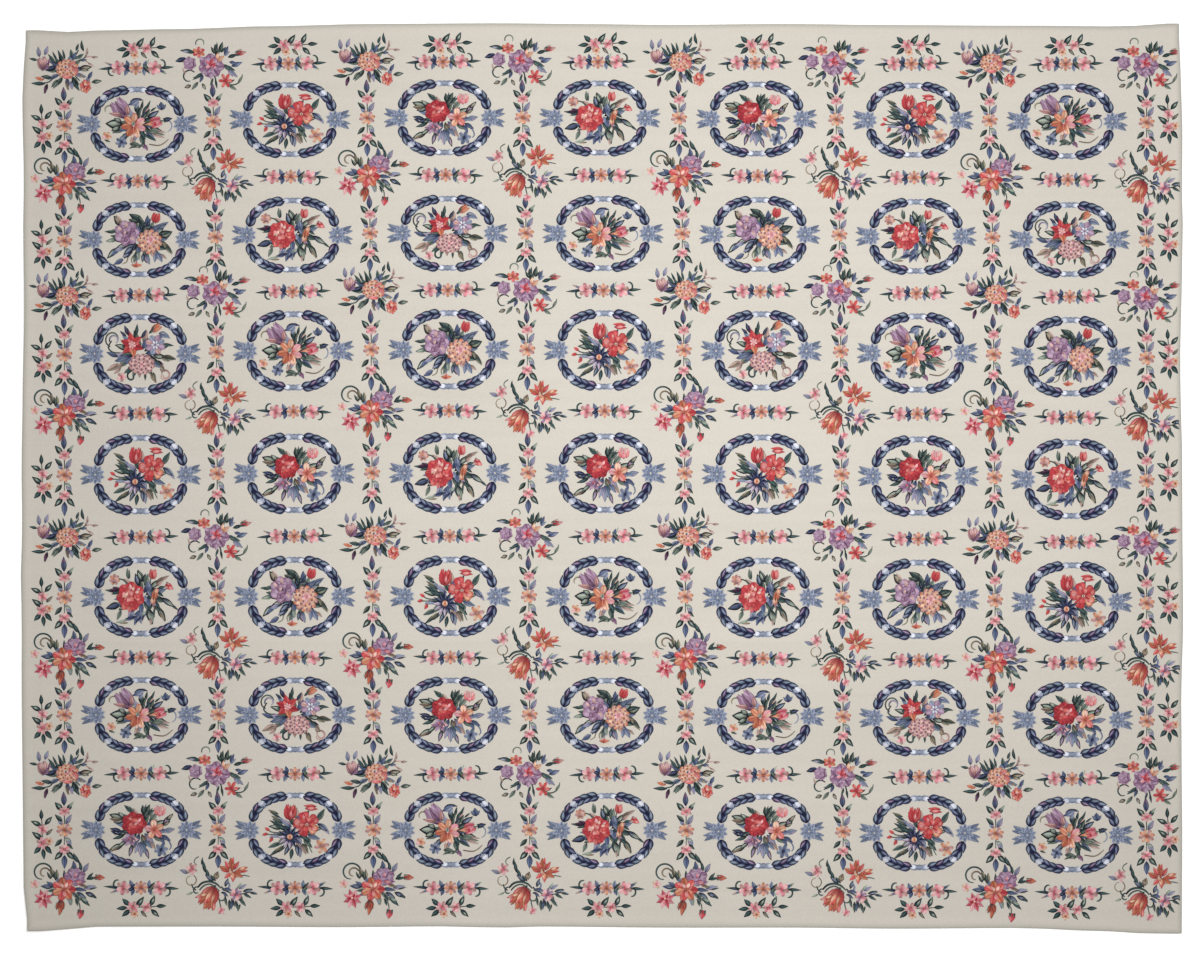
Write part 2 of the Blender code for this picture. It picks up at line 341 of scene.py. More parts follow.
class Chart:
    """One motif, stitched form by form round its own centre in millimetres, lowest form first."""

    FINE_LENGTH = 24.0
    FINE_WIDTH = 8.5
    INKED_LENGTH = 0.84
    INKED_WIDTH = 0.68
    DYE_SWING = 0.14
    DYE_STEP = 2.4

    def __init__(self, first_layer: int = 0) -> None:
        """Starts with no forms, above as many layers as are given."""
        self.first_layer = first_layer
        self.points: list[np.ndarray] = []
        self.colours: list[np.ndarray] = []
        self.faces: list[np.ndarray] = []
        self.layers: list[np.ndarray] = []
        self.total = 0

    def _stamp(
        self, blank: Blank, tone: Tone, path: tuple[np.ndarray, np.ndarray], width: float
    ) -> None:
        """Copies a blank along a path as the next form up."""
        places, left = path
        spots = places + left * (blank.across * width / 2)[:, None]
        self.points.append(spots)
        lot = 1.0 + self.DYE_SWING * sin(self.DYE_STEP * len(self.points))
        self.colours.append(blank.dyed(tone) * lot)
        self.faces.append(blank.faces + self.total)
        self.layers.append(np.full(len(spots), self.first_layer + len(self.points)))
        self.total += len(spots)

    def form(
        self,
        cut: Cut,
        tone: Tone,
        x: float,
        y: float,
        length: float,
        width: float,
        angle: float = 90.0,
        bend: float = 0.0,
    ) -> None:
        """Adds one form, centred on (x, y), with its tip towards angle."""
        if tone.inked:
            self.form(cut, Tone.INK, x, y, length, width, angle, bend)
            length, width = length * self.INKED_LENGTH, width * self.INKED_WIDTH
        fine = length >= self.FINE_LENGTH and width >= self.FINE_WIDTH
        one_shade = tone in (Tone.NIGHT, Tone.INK)
        blank = Blank.of(cut, 5 if fine else 4, 4 if fine and not one_shade else Blank.NARROW)
        self._stamp(blank, tone, along_arc(blank.along, x, y, length, angle, bend), width)

    def leaves(self, tone: Tone, *rows: tuple[float, ...], cut: Cut = Cut.LEAF) -> None:
        """Adds leaves, a row each: x, y, length, width, angle and, where bent, bend."""
        for row in rows:
            self.form(cut, tone, *row)

    def greens(self, turn: float, x: float = 0.0, y: float = 0.0) -> None:
        """Adds a burst of leaves in mixed yarns, to lie under a bouquet's flowers."""
        far = (Tone.SAGE, Tone.EDGED_BLUE, Tone.TAUPE, Tone.PINE, Tone.MIST, Tone.EDGED_SAGE, Tone.LILAC_LEAF)
        near = (Tone.PINE, Tone.SLATE, Tone.TEAL, Tone.LILAC_LEAF, Tone.BLACK)
        self.ring(far, x, y, 40, 84, 13, 17, turn, 0.84, Cut.LEAF, 16)
        self.ring(near, x, y, 16, 62, 12, 16, turn + 17, 0.84, Cut.LEAF, -12)

    def dots(self, tone: Tone, size: float, *places: Place) -> None:
        """Adds round dots of one size."""
        for x, y in places:
            self.form(Cut.DISC, tone, x, y, size, size)

    def ring(
        self,
        tones: tuple[Tone, ...],
        x: float,
        y: float,
        inner: float,
        outer: float,
        count: int,
        width: float,
        turn: float = 90.0,
        squash: float = 1.0,
        cut: Cut = Cut.PETAL,
        bend: float = 0.0,
    ) -> None:
        """Adds a ring of petals round (x, y).

        Args:
            tones: one for each petal in turn, over and over.
            x: the ring's centre.
            y: the ring's centre.
            inner: radius of the petals' bases.
            outer: radius of their tips.
            count: how many there are.
            width: how wide each is.
            turn: where the first petal points, in degrees.
            squash: the ring's height over its width.
            cut: the petals' outline.
            bend: how far each petal curls, in degrees.
        """
        middle = (inner + outer) / 2
        for step in range(count):
            angle = radians(turn + 360.0 * step / count)
            run, rise = cos(angle), sin(angle) * squash
            length = (outer - inner) * hypot(run, rise)
            heading = atan2(rise, run) * 180.0 / pi
            tone = tones[step % len(tones)]
            self.form(cut, tone, x + middle * run, y + middle * rise, length, width, heading, bend)

    def stem(self, tone: Tone, width: float, *points: Place) -> None:
        """Adds a stem of a steady width on a smooth curve through points."""
        blank = Blank.of(Cut.STEM, max(4, 3 * (len(points) - 1)), 2)
        self._stamp(blank, tone, along_points(blank.along, list(points)), width)

    def curl(
        self,
        tone: Tone,
        x: float,
        y: float,
        radius: float,
        start: float,
        sweep: float,
        width: float = 4.0,
        close: float = 0.55,
    ) -> None:
        """Adds a tendril that winds in round (x, y).

        Args:
            tone: its yarns.
            x: the centre that it winds round.
            y: the centre that it winds round.
            radius: how far out it starts.
            start: where it starts, in degrees.
            sweep: how far it winds, in degrees.
            width: the tendril's width.
            close: its last radius over its first.
        """
        turns = np.linspace(0.0, 1.0, 3 + int(abs(sweep) / 40))
        points = []
        for share in turns:
            reach = radius * (1 + (close - 1) * share)
            angle = radians(start + sweep * share)
            points.append((x + reach * cos(angle), y + reach * sin(angle)))
        self.stem(tone, width, *points)

    def rose(
        self,
        tones: tuple[Tone, Tone, Tone],
        x: float,
        y: float,
        wide: float,
        tall: float,
        turn: float = 90.0,
        petals: int = 7,
    ) -> None:
        """Adds a full rose: three rings of broad petals, each smaller and turned from the last.

        Args:
            tones: the outer, middle and inner petals' yarns.
            x: the rose's centre.
            y: the rose's centre.
            wide: its width.
            tall: its height.
            turn: where its first petal points, in degrees.
            petals: how many are in the outer ring.
        """
        half = wide / 2
        squash = tall / wide
        outer, middle, inner = tones
        step = 180.0 / petals
        for tone, out, lag in ((middle, 0.88, step), (outer, 1.0, 0.0)):
            self.ring((tone,), x, y, half * 0.2, half * out, petals, half * 0.66, turn + lag, squash)
        self.ring(
            (middle, outer), x, y, half * 0.08, half * 0.70, petals - 1, half * 0.54,
            turn + step, squash, Cut.FAN, 24.0,
        )
        self.ring(
            (inner, middle), x, y, half * 0.02, half * 0.44, petals - 2, half * 0.38,
            turn - step, squash, Cut.FAN, 30.0,
        )

    def tulip(
        self, tones: tuple[Tone, Tone], x: float, y: float, length: float, width: float, angle: float
    ) -> None:
        """Adds a tulip seen from the side: two outer petals, two inner ones and a middle one."""
        outer, inner = tones
        heading = radians(angle)
        for side, tone, spread, share in (
            (1, outer, 0.27, 0.92),
            (-1, outer, 0.27, 0.92),
            (1, inner, 0.12, 0.98),
            (-1, inner, 0.12, 0.98),
            (0, outer, 0.0, 0.82),
        ):
            x_side = x - sin(heading) * side * width * spread
            y_side = y + cos(heading) * side * width * spread
            lean = -16.0 * side * (spread > 0.2)
            self.form(
                Cut.BUD, tone, x_side, y_side, length * share, width * 0.42, angle + side * 8, lean
            )

    def bud(
        self, tone: Tone, cup: Tone, x: float, y: float, length: float, width: float, angle: float
    ) -> None:
        """Adds a bud in a cup of two small sepals."""
        heading = radians(angle)
        self.form(Cut.BUD, tone, x, y, length, width, angle)
        for side in (-1, 1):
            self.form(
                Cut.BLADE,
                cup,
                x - cos(heading) * length * 0.28 - sin(heading) * side * width * 0.30,
                y - sin(heading) * length * 0.28 + cos(heading) * side * width * 0.30,
                length * 0.55,
                width * 0.34,
                angle - side * 10,
            )


@dataclass
class GroundCloth:
    """The ivory sheet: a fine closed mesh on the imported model's outline, heights and hem."""

    rim_round: float = 0.0024
    near_edge: tuple[float, ...] = (0.004, 0.009, 0.015, 0.022, 0.027, 0.032, 0.038, 0.050)
    cells_long: int = 136
    cells_short: int = 106
    edge_reach: float = 0.30
    corner_clear: float = 0.036
    ripple: float = 0.0004
    smooth_rounds: int = 2
    rim_rows: tuple[Place, ...] = ((0.30, 0.16), (0.86, 0.40), (1.0, 0.62), (0.62, 0.88))

    def build(self) -> bpy.types.Object:
        """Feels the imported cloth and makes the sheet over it.

        Returns:
            The cloth's object, at the origin.
        """
        self.felt = Felt.of_node(CAD_NODE)
        grid_x, grid_y = self._plan()
        top, under = self._heights(grid_x, grid_y)
        mesh = self._closed(grid_x, grid_y, top, under)
        cloth = bpy.data.objects.new("ground_cloth", mesh)
        bpy.context.scene.collection.objects.link(cloth)
        self.top = Felt.of_mesh(mesh)
        return cloth

    def _stations(self, cells: int) -> np.ndarray:
        """Shares of a side's length, from 0 to 1: close at the hem, even between."""
        side = self.length if cells == self.cells_long else self.width
        low = np.array([0.0, *self.near_edge]) / side
        even = np.linspace(low[-1], 1 - low[-1], cells - 2 * len(self.near_edge) + 1)
        return np.concatenate([low[:-1], even, (1 - low[:-1])[::-1]])

    def _plan(self) -> tuple[np.ndarray, np.ndarray]:
        """Plan positions of the grid, drawn in from a true rectangle to the felt outline."""
        low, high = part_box(CAD_NODE)
        self.length, self.width = high[0] - low[0], high[1] - low[1]
        shares_x, shares_y = self._stations(self.cells_long), self._stations(self.cells_short)
        x = low[0] + self.length * shares_x
        y = low[1] + self.width * shares_y
        inset = self.rim_round
        clear_x = np.clip(x, low[0] + self.corner_clear, high[0] - self.corner_clear)
        clear_y = np.clip(y, low[1] + self.corner_clear, high[1] - self.corner_clear)
        left = np.array([self.felt.edge((low[0], v), (1, 0)) for v in clear_y]) + inset
        right = np.array([self.felt.edge((high[0], v), (-1, 0)) for v in clear_y]) + inset
        bottom = np.array([self.felt.edge((u, low[1]), (0, 1)) for u in clear_x]) + inset
        top = np.array([self.felt.edge((u, high[1]), (0, -1)) for u in clear_x]) + inset
        pull_left = eased(1 - (x - low[0]) / self.edge_reach)[:, None]
        pull_right = eased(1 - (high[0] - x) / self.edge_reach)[:, None]
        pull_bottom = eased(1 - (y - low[1]) / self.edge_reach)[None, :]
        pull_top = eased(1 - (high[1] - y) / self.edge_reach)[None, :]
        grid_x = x[:, None] + left[None, :] * pull_left - right[None, :] * pull_right
        grid_y = y[None, :] + bottom[:, None] * pull_bottom - top[:, None] * pull_top
        self.rim = np.minimum(
            np.minimum(x - low[0], high[0] - x)[:, None],
            np.minimum(y - low[1], high[1] - y)[None, :],
        )
        return grid_x, grid_y

    def _heights(self, grid_x: np.ndarray, grid_y: np.ndarray) -> tuple[np.ndarray, np.ndarray]:
        """Heights of the upper and under faces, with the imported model's facets eased away."""
        top = np.empty_like(grid_x)
        under = np.empty_like(grid_x)
        for row, column in np.ndindex(grid_x.shape):
            place = (grid_x[row, column], grid_y[row, column])
            top[row, column] = self.felt.height(place)
            under[row, column] = self.felt.floor(place)
        thick = top - under
        for _ in range(self.smooth_rounds):
            inner = under[1:-1, 1:-1]
            around = under[:-2, 1:-1] + under[2:, 1:-1] + under[1:-1, :-2] + under[1:-1, 2:]
            under[1:-1, 1:-1] = 0.5 * inner + 0.125 * around
        waves = np.sin(5.1 * grid_x + 2.2 * grid_y) * np.sin(7.3 * grid_y - 1.7 * grid_x)
        waves = waves + 0.6 * np.sin(13.0 * grid_x - 4.0 * np.sin(3.0 * grid_y))
        share = eased((self.rim - self.near_edge[-1]) / self.edge_reach)
        lift = self.ripple * waves * share
        return under + thick + lift, np.maximum(under, 0.0)

    def _closed(
        self, grid_x: np.ndarray, grid_y: np.ndarray, top: np.ndarray, under: np.ndarray
    ) -> bpy.types.Mesh:
        """Joins the two faces by a rounded rim.

        Args:
            grid_x: plan position of each grid point.
            grid_y: plan position of each grid point.
            top: height of the upper face there.
            under: height of the under face there.

        Returns:
            The closed mesh, with its rim distance and its map.
        """
        columns, rows = grid_x.shape
        count = columns * rows
        index = np.arange(count).reshape(columns, rows)
        flat = np.stack([grid_x.ravel(), grid_y.ravel()], axis=1)
        cells = np.stack(
            [index[:-1, :-1], index[1:, :-1], index[1:, 1:], index[:-1, 1:]], axis=-1
        ).reshape(-1, 4)
        loop = np.concatenate(
            [index[:-1, 0], index[-1, :-1], index[:0:-1, -1], index[0, :0:-1]]
        )
        outward = np.zeros((len(loop), 2))
        for normal, line in (
            ((0, -1), index[:, 0]), ((1, 0), index[-1, :]), ((0, 1), index[:, -1]), ((-1, 0), index[0, :])
        ):
            outward[np.isin(loop, line)] += normal
        outward /= np.linalg.norm(outward, axis=1, keepdims=True)
        parts = [
            np.column_stack([flat, under.ravel()]),
            np.column_stack([flat, top.ravel()]),
        ]
        faces = [cells[:, ::-1], cells + count]
        ring = loop + count
        start = 2 * count
        for out, down in self.rim_rows:
            height = top.ravel()[loop] * (1 - down) + under.ravel()[loop] * down
            parts.append(np.column_stack([flat[loop] + outward * out * self.rim_round, height]))
            following = np.arange(start, start + len(loop))
            faces.append(strip_faces(following, ring))
            ring = following
            start += len(loop)
        faces.append(strip_faces(loop, ring))
        points = np.concatenate(parts)
        quads = np.concatenate(faces)
        mesh = bpy.data.meshes.new("ground_cloth")
        mesh.from_pydata(points.tolist(), [], quads.tolist())
        mesh.shade_smooth()
        inward = np.concatenate([self.rim.ravel(), self.rim.ravel()])
        inward = np.concatenate([inward, np.zeros(len(points) - len(inward))])
        rim = mesh.attributes.new(RIM_LAYER, "FLOAT", "POINT")
        rim.data.foreach_set("value", inward)
        low, high = points[:, :2].min(axis=0), points[:, :2].max(axis=0)
        write_map(mesh, BAKE_MAP, (points[:, :2] - low) / (high - low))
        return mesh


def strip_faces(lower: np.ndarray, upper: np.ndarray) -> np.ndarray:
    """Four-sided faces that close the band between two rings of the same count."""
    return np.stack([lower, np.roll(lower, -1), np.roll(upper, -1), upper], axis=1)


def eased(share: np.ndarray) -> np.ndarray:
    """A share held between 0 and 1, with no corner at either end."""
    share = np.clip(share, 0.0, 1.0)
    return share * share * (3.0 - 2.0 * share)


def write_map(mesh: bpy.types.Mesh, name: str, places: np.ndarray) -> None:
    """Writes a UV map from a place for each vertex."""
    layer = mesh.uv_layers.new(name=name)
    corners = np.empty(len(mesh.loops), dtype=np.int64)
    mesh.loops.foreach_get("vertex_index", corners)
    layer.data.foreach_set("uv", places[corners].ravel())


@dataclass
class Felt:
    """A mesh that is felt with straight rays, for its edges and its heights."""

    tree: BVHTree
    reach: float = 1.0
    nudge: float = 0.0015
    deepest: float = 0.06
    bisections: int = 14

    @classmethod
    def of_node(cls, name: str) -> "Felt":
        """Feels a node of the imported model."""
        return cls.of_mesh(bpy.data.objects[name].data)

    @classmethod
    def of_mesh(cls, mesh: bpy.types.Mesh) -> "Felt":
        """Feels a mesh whose object is at the origin."""
        faces = [list(face.vertices) for face in mesh.polygons]
        return cls(BVHTree.FromPolygons([point.co for point in mesh.vertices], faces))

    def _ray(self, place: Place, down: bool) -> float | None:
        """Height of the first hit from above or from below, or None past the edge."""
        start = Vector((place[0], place[1], self.reach if down else -self.reach))
        hit = self.tree.ray_cast(start, Vector((0, 0, -1 if down else 1)))[0]
        return None if hit is None else hit.z

    def _inside(self, place: Place) -> bool:
        """Whether the mesh has anything over that place."""
        return self._ray(place, True) is not None

    def edge(self, outside: Place, inward: Place) -> float:
        """Distance from a place on the box's side to where the mesh begins.

        Args:
            outside: a place on the side of the box.
            inward: the direction into the mesh.

        Returns:
            The distance, in metres.
        """
        clear, met = 0.0, self.deepest
        for _ in range(self.bisections):
            half = (clear + met) / 2
            if self._inside((outside[0] + inward[0] * half, outside[1] + inward[1] * half)):
                met = half
            else:
                clear = half
        return met

    def _nearest(self, place: Place, down: bool) -> float:
        """Height at a place, stepping towards the middle until something is met."""
        x, y = place
        for _ in range(12):
            height = self._ray((x, y), down)
            if height is not None:
                return height
            x -= copysign(self.nudge, x)
            y -= copysign(self.nudge, y)
        raise ValueError(f"nothing to rest on near {place}")

    def within(self, place: Place, clear: float) -> Place:
        """A place itself, or one moved towards the middle until it is clear of the edge.

        Args:
            place: any place near the mesh.
            clear: the least distance to keep from the edge.

        Returns:
            The place to use.
        """
        x, y = place
        for _ in range(40):
            past_x = not self._inside((x + copysign(clear, x), y))
            past_y = not self._inside((x, y + copysign(clear, y)))
            if not (past_x or past_y):
                break
            x -= copysign(self.nudge, x) * past_x
            y -= copysign(self.nudge, y) * past_y
        return x, y

    def height(self, place: Place) -> float:
        """Height of the upper face."""
        return self._nearest(place, True)

    def floor(self, place: Place) -> float:
        """Height of the under face."""
        return self._nearest(place, False)


@dataclass
class Needlework:
    """All the copies of one motif, joined in one piece that lies on the ground cloth."""

    name: str
    chart: Chart
    spots: list[Spot]
    first_lift: float = 0.00035
    layer_lift: float = 0.000012
    edge_clear: float = 0.007
    outer_strip: float = 0.05

    def build(self, ground: GroundCloth) -> bpy.types.Object:
        """Copies the motif to its spots and lays every point on the cloth.

        Args:
            ground: the cloth under it.

        Returns:
            The joined piece, at the origin.
        """
        drawn = np.concatenate(self.chart.points)
        face_list = np.concatenate(self.chart.faces).tolist()
        lifts = self.first_lift + self.layer_lift * np.concatenate(self.chart.layers)
        colours = np.concatenate(self.chart.colours)
        points, quads = [], []
        for number, spot in enumerate(self.spots):
            turn = radians(spot.turn)
            x = drawn[:, 0] * spot.wide * MM
            y = drawn[:, 1] * spot.tall * MM
            plan_x = spot.x + x * cos(turn) - y * sin(turn)
            plan_y = spot.y + x * sin(turn) + y * cos(turn)
            outer = (abs(plan_x) > ground.length / 2 - self.outer_strip)
            outer |= abs(plan_y) > ground.width / 2 - self.outer_strip
            for index in np.flatnonzero(outer):
                place = (plan_x[index], plan_y[index])
                plan_x[index], plan_y[index] = ground.top.within(place, self.edge_clear)
            heights = [ground.top.height(place) for place in zip(plan_x, plan_y)]
            points.append(np.column_stack([plan_x, plan_y, np.array(heights) + lifts]))
            start = number * len(drawn)
            flipped = spot.wide * spot.tall < 0
            for face in face_list:
                order = face[::-1] if flipped else face
                quads.append([start + corner for corner in order])
        mesh = bpy.data.meshes.new(self.name)
        mesh.from_pydata(np.concatenate(points).tolist(), [], quads)
        mesh.shade_smooth()
        copies = len(self.spots)
        dyed = np.column_stack([colours, np.ones(len(colours))])
        layer = mesh.color_attributes.new(YARN_LAYER, "FLOAT_COLOR", "POINT")
        layer.data.foreach_set("color", np.tile(dyed, (copies, 1)).ravel())
        low, high = drawn.min(axis=0), drawn.max(axis=0)
        write_map(mesh, BAKE_MAP, np.tile(0.01 + 0.98 * (drawn - low) / (high - low), (copies, 1)))
        write_map(mesh, CANVAS_MAP, np.tile(drawn * MM, (copies, 1)))
        piece = bpy.data.objects.new(self.name, mesh)
        bpy.context.scene.collection.objects.link(piece)
        return piece


class StitchGroup:
    """The tent stitch as a node group: slanted loops in rows, with a shade of their own each."""

    NAME = "tent_stitch"
    SLANT = 0.8
    ROUNDING = 0.6

    @classmethod
    def get(cls) -> bpy.types.NodeTree:
        """The group, made the first time that it is asked for.

        Returns:
            A group from a place and a pitch to a height and a shade.
        """
        if cls.NAME in bpy.data.node_groups:
            return bpy.data.node_groups[cls.NAME]
        tree = bpy.data.node_groups.new(cls.NAME, "ShaderNodeTree")
        tree.interface.new_socket("Place", in_out="INPUT", socket_type="NodeSocketVector")
        pitch = tree.interface.new_socket("Pitch", in_out="INPUT", socket_type="NodeSocketFloat")
        pitch.default_value = 0.003
        tree.interface.new_socket("Height", in_out="OUTPUT", socket_type="NodeSocketFloat")
        tree.interface.new_socket("Shade", in_out="OUTPUT", socket_type="NodeSocketFloat")
        enter = tree.nodes.new("NodeGroupInput")
        leave = tree.nodes.new("NodeGroupOutput")
        parts = tree.nodes.new("ShaderNodeSeparateXYZ")
        tree.links.new(enter.outputs["Place"], parts.inputs[0])
        across = math_node(tree, "DIVIDE", parts.outputs["X"], enter.outputs["Pitch"])
        up = math_node(tree, "DIVIDE", parts.outputs["Y"], enter.outputs["Pitch"])
        in_row = math_node(tree, "FRACT", up)
        slid = math_node(tree, "MULTIPLY", in_row, cls.SLANT)
        slant = math_node(tree, "SUBTRACT", across, slid)
        heights = [cls._loop(tree, value) for value in (up, slant)]
        both = math_node(tree, "MULTIPLY", *heights)
        tree.links.new(both, leave.inputs["Height"])
        cell = tree.nodes.new("ShaderNodeCombineXYZ")
        tree.links.new(math_node(tree, "FLOOR", slant), cell.inputs["X"])
        tree.links.new(math_node(tree, "FLOOR", up), cell.inputs["Y"])
        grain = tree.nodes.new("ShaderNodeTexWhiteNoise")
        grain.noise_dimensions = "2D"
        tree.links.new(cell.outputs[0], grain.inputs["Vector"])
        tree.links.new(grain.outputs["Value"], leave.inputs["Shade"])
        return tree

    @classmethod
    def _loop(cls, tree: bpy.types.NodeTree, value: bpy.types.NodeSocket) -> bpy.types.NodeSocket:
        """A rounded ridge for each whole step of a value."""
        wave = math_node(tree, "SINE", math_node(tree, "MULTIPLY", value, pi))
        return math_node(tree, "POWER", math_node(tree, "ABSOLUTE", wave), cls.ROUNDING)


def math_node(
    tree: bpy.types.NodeTree, operation: str, *values: bpy.types.NodeSocket | float
) -> bpy.types.NodeSocket:
    """Adds one sum to a node tree.

    Args:
        tree: the tree.
        operation: the sum's kind.
        values: sockets or plain numbers.

    Returns:
        The sum's output.
    """
    node = tree.nodes.new("ShaderNodeMath")
    node.operation = operation
    for socket, value in zip(node.inputs, values):
        if isinstance(value, bpy.types.NodeSocket):
            tree.links.new(value, socket)
        else:
            socket.default_value = value
    return node.outputs[0]


@dataclass(frozen=True)
class WoolFinish:
    """Stitched wool: what ground and motifs share."""

    name: str
    pitch: float = 0.003
    shade_swing: float = 0.10
    relief: float = 0.0004
    bump: float = 0.45
    roughness: float = 0.93
    sheen: float = 0.10
    sheen_roughness: float = 0.55

    def make(self) -> bpy.types.Material:
        """Makes the material.

        Returns:
            Wool whose base colour comes from _colour, with stitches raised in it.
        """
        material = bpy.data.materials.new(self.name)
        material.use_nodes = True
        tree = material.node_tree
        shader = tree.nodes["Principled BSDF"]
        shader.inputs["Roughness"].default_value = self.roughness
        shader.inputs["Specular IOR Level"].default_value = 0.2
        shader.inputs["Sheen Weight"].default_value = self.sheen
        shader.inputs["Sheen Roughness"].default_value = self.sheen_roughness
        stitches = tree.nodes.new("ShaderNodeGroup")
        stitches.node_tree = StitchGroup.get()
        stitches.inputs["Pitch"].default_value = self.pitch
        place = self._place(tree)
        tree.links.new(place, stitches.inputs["Place"])
        shade = math_node(tree, "MULTIPLY", stitches.outputs["Shade"], self.shade_swing)
        shade = math_node(tree, "ADD", shade, 1.0 - self.shade_swing / 2)
        tinted = tree.nodes.new("ShaderNodeVectorMath")
        tinted.operation = "SCALE"
        tree.links.new(self._colour(tree, place), tinted.inputs[0])
        tree.links.new(shade, tinted.inputs["Scale"])
        tree.links.new(tinted.outputs[0], shader.inputs["Base Color"])
        raised = tree.nodes.new("ShaderNodeBump")
        raised.inputs["Strength"].default_value = self.bump
        raised.inputs["Distance"].default_value = self.relief
        tree.links.new(stitches.outputs["Height"], raised.inputs["Height"])
        tree.links.new(raised.outputs[0], shader.inputs["Normal"])
        return material

    def _place(self, tree: bpy.types.NodeTree) -> bpy.types.NodeSocket:
        """Where the stitches are counted from."""
        return tree.nodes.new("ShaderNodeTexCoord").outputs["Object"]

    def _colour(
        self, tree: bpy.types.NodeTree, place: bpy.types.NodeSocket
    ) -> bpy.types.NodeSocket:
        """The wool's colour before each stitch is shaded."""
        raise NotImplementedError


@dataclass(frozen=True)
class MotifWool(WoolFinish):
    """Dyed wool of the motifs: the yarn that each form was dyed with."""

    def _place(self, tree: bpy.types.NodeTree) -> bpy.types.NodeSocket:
        """Stitches are counted on the motif's own canvas."""
        canvas = tree.nodes.new("ShaderNodeUVMap")
        canvas.uv_map = CANVAS_MAP
        return canvas.outputs[0]

    def _colour(
        self, tree: bpy.types.NodeTree, place: bpy.types.NodeSocket
    ) -> bpy.types.NodeSocket:
        """The dyed yarn's colour."""
        yarn = tree.nodes.new("ShaderNodeVertexColor")
        yarn.layer_name = YARN_LAYER
        return yarn.outputs["Color"]


@dataclass(frozen=True)
class GroundWool(WoolFinish):
    """Ivory wool of the ground, with dye streaks, a few darker rows and painted shade along the hem."""

    ivory: Colour = (0.700, 0.654, 0.582)
    dusk: Colour = (0.636, 0.592, 0.520)
    # hem colour: painted shade along the rim, where the hem rolls under
    hem: Colour = (0.560, 0.530, 0.462)
    streak_length: float = 0.9
    streak_height: float = 26.0
    dye_row: float = -0.505
    dye_drop: float = 0.035
    # how far in from the edge the painted shade of the hem reaches
    hem_shade_reach: float = 0.016

    def _colour(
        self, tree: bpy.types.NodeTree, place: bpy.types.NodeSocket
    ) -> bpy.types.NodeSocket:
        """Ivory, mixed towards a duller lot of yarn in streaks and below one row, and towards a darker colour
        at the hem that is painted shade.
        """
        stretched = tree.nodes.new("ShaderNodeMapping")
        stretched.inputs["Scale"].default_value = (self.streak_length, self.streak_height, 1.0)
        tree.links.new(place, stretched.inputs["Vector"])
        streaks = self._noise(tree, stretched.outputs[0], 1.0)
        blotches = self._noise(tree, place, 1.6)
        both = math_node(tree, "ADD", streaks, blotches)
        parts = tree.nodes.new("ShaderNodeSeparateXYZ")
        tree.links.new(place, parts.inputs[0])
        row = tree.nodes.new("ShaderNodeMapRange")
        row.inputs["From Min"].default_value = self.dye_row + 0.004
        row.inputs["From Max"].default_value = self.dye_row - 0.004
        row.inputs["To Max"].default_value = self.dye_drop * 6
        tree.links.new(parts.outputs["Y"], row.inputs["Value"])
        amount = math_node(tree, "ADD", math_node(tree, "SUBTRACT", both, 0.72), row.outputs[0])
        body = self._mix(tree, amount, self._plain(tree, self.ivory), self._plain(tree, self.dusk))
        # painted shade: the wool darkens towards the rim of the hem
        rim = tree.nodes.new("ShaderNodeAttribute")
        rim.attribute_name = RIM_LAYER
        hem_shade = tree.nodes.new("ShaderNodeMapRange")
        hem_shade.interpolation_type = "SMOOTHSTEP"
        hem_shade.inputs["From Min"].default_value = self.hem_shade_reach
        hem_shade.inputs["From Max"].default_value = 0.0
        tree.links.new(rim.outputs["Fac"], hem_shade.inputs["Value"])
        return self._mix(tree, hem_shade.outputs[0], body, self._plain(tree, self.hem))

    @staticmethod
    def _plain(tree: bpy.types.NodeTree, colour: Colour) -> bpy.types.NodeSocket:
        """A plain colour's socket."""
        node = tree.nodes.new("ShaderNodeRGB")
        node.outputs[0].default_value = (*colour, 1.0)
        return node.outputs[0]

    @staticmethod
    def _noise(
        tree: bpy.types.NodeTree, place: bpy.types.NodeSocket, scale: float
    ) -> bpy.types.NodeSocket:
        """Soft noise, 0 to 1."""
        node = tree.nodes.new("ShaderNodeTexNoise")
        node.inputs["Scale"].default_value = scale
        node.inputs["Detail"].default_value = 3.0
        tree.links.new(place, node.inputs["Vector"])
        return node.outputs["Fac"]

    @staticmethod
    def _mix(
        tree: bpy.types.NodeTree,
        share: bpy.types.NodeSocket,
        first: bpy.types.NodeSocket,
        second: bpy.types.NodeSocket,
    ) -> bpy.types.NodeSocket:
        """Two colours mixed by a share."""
        node = tree.nodes.new("ShaderNodeMix")
        node.data_type = "RGBA"
        tree.links.new(share, node.inputs["Factor"])
        tree.links.new(first, node.inputs["A"])
        tree.links.new(second, node.inputs["B"])
        return node.outputs["Result"]


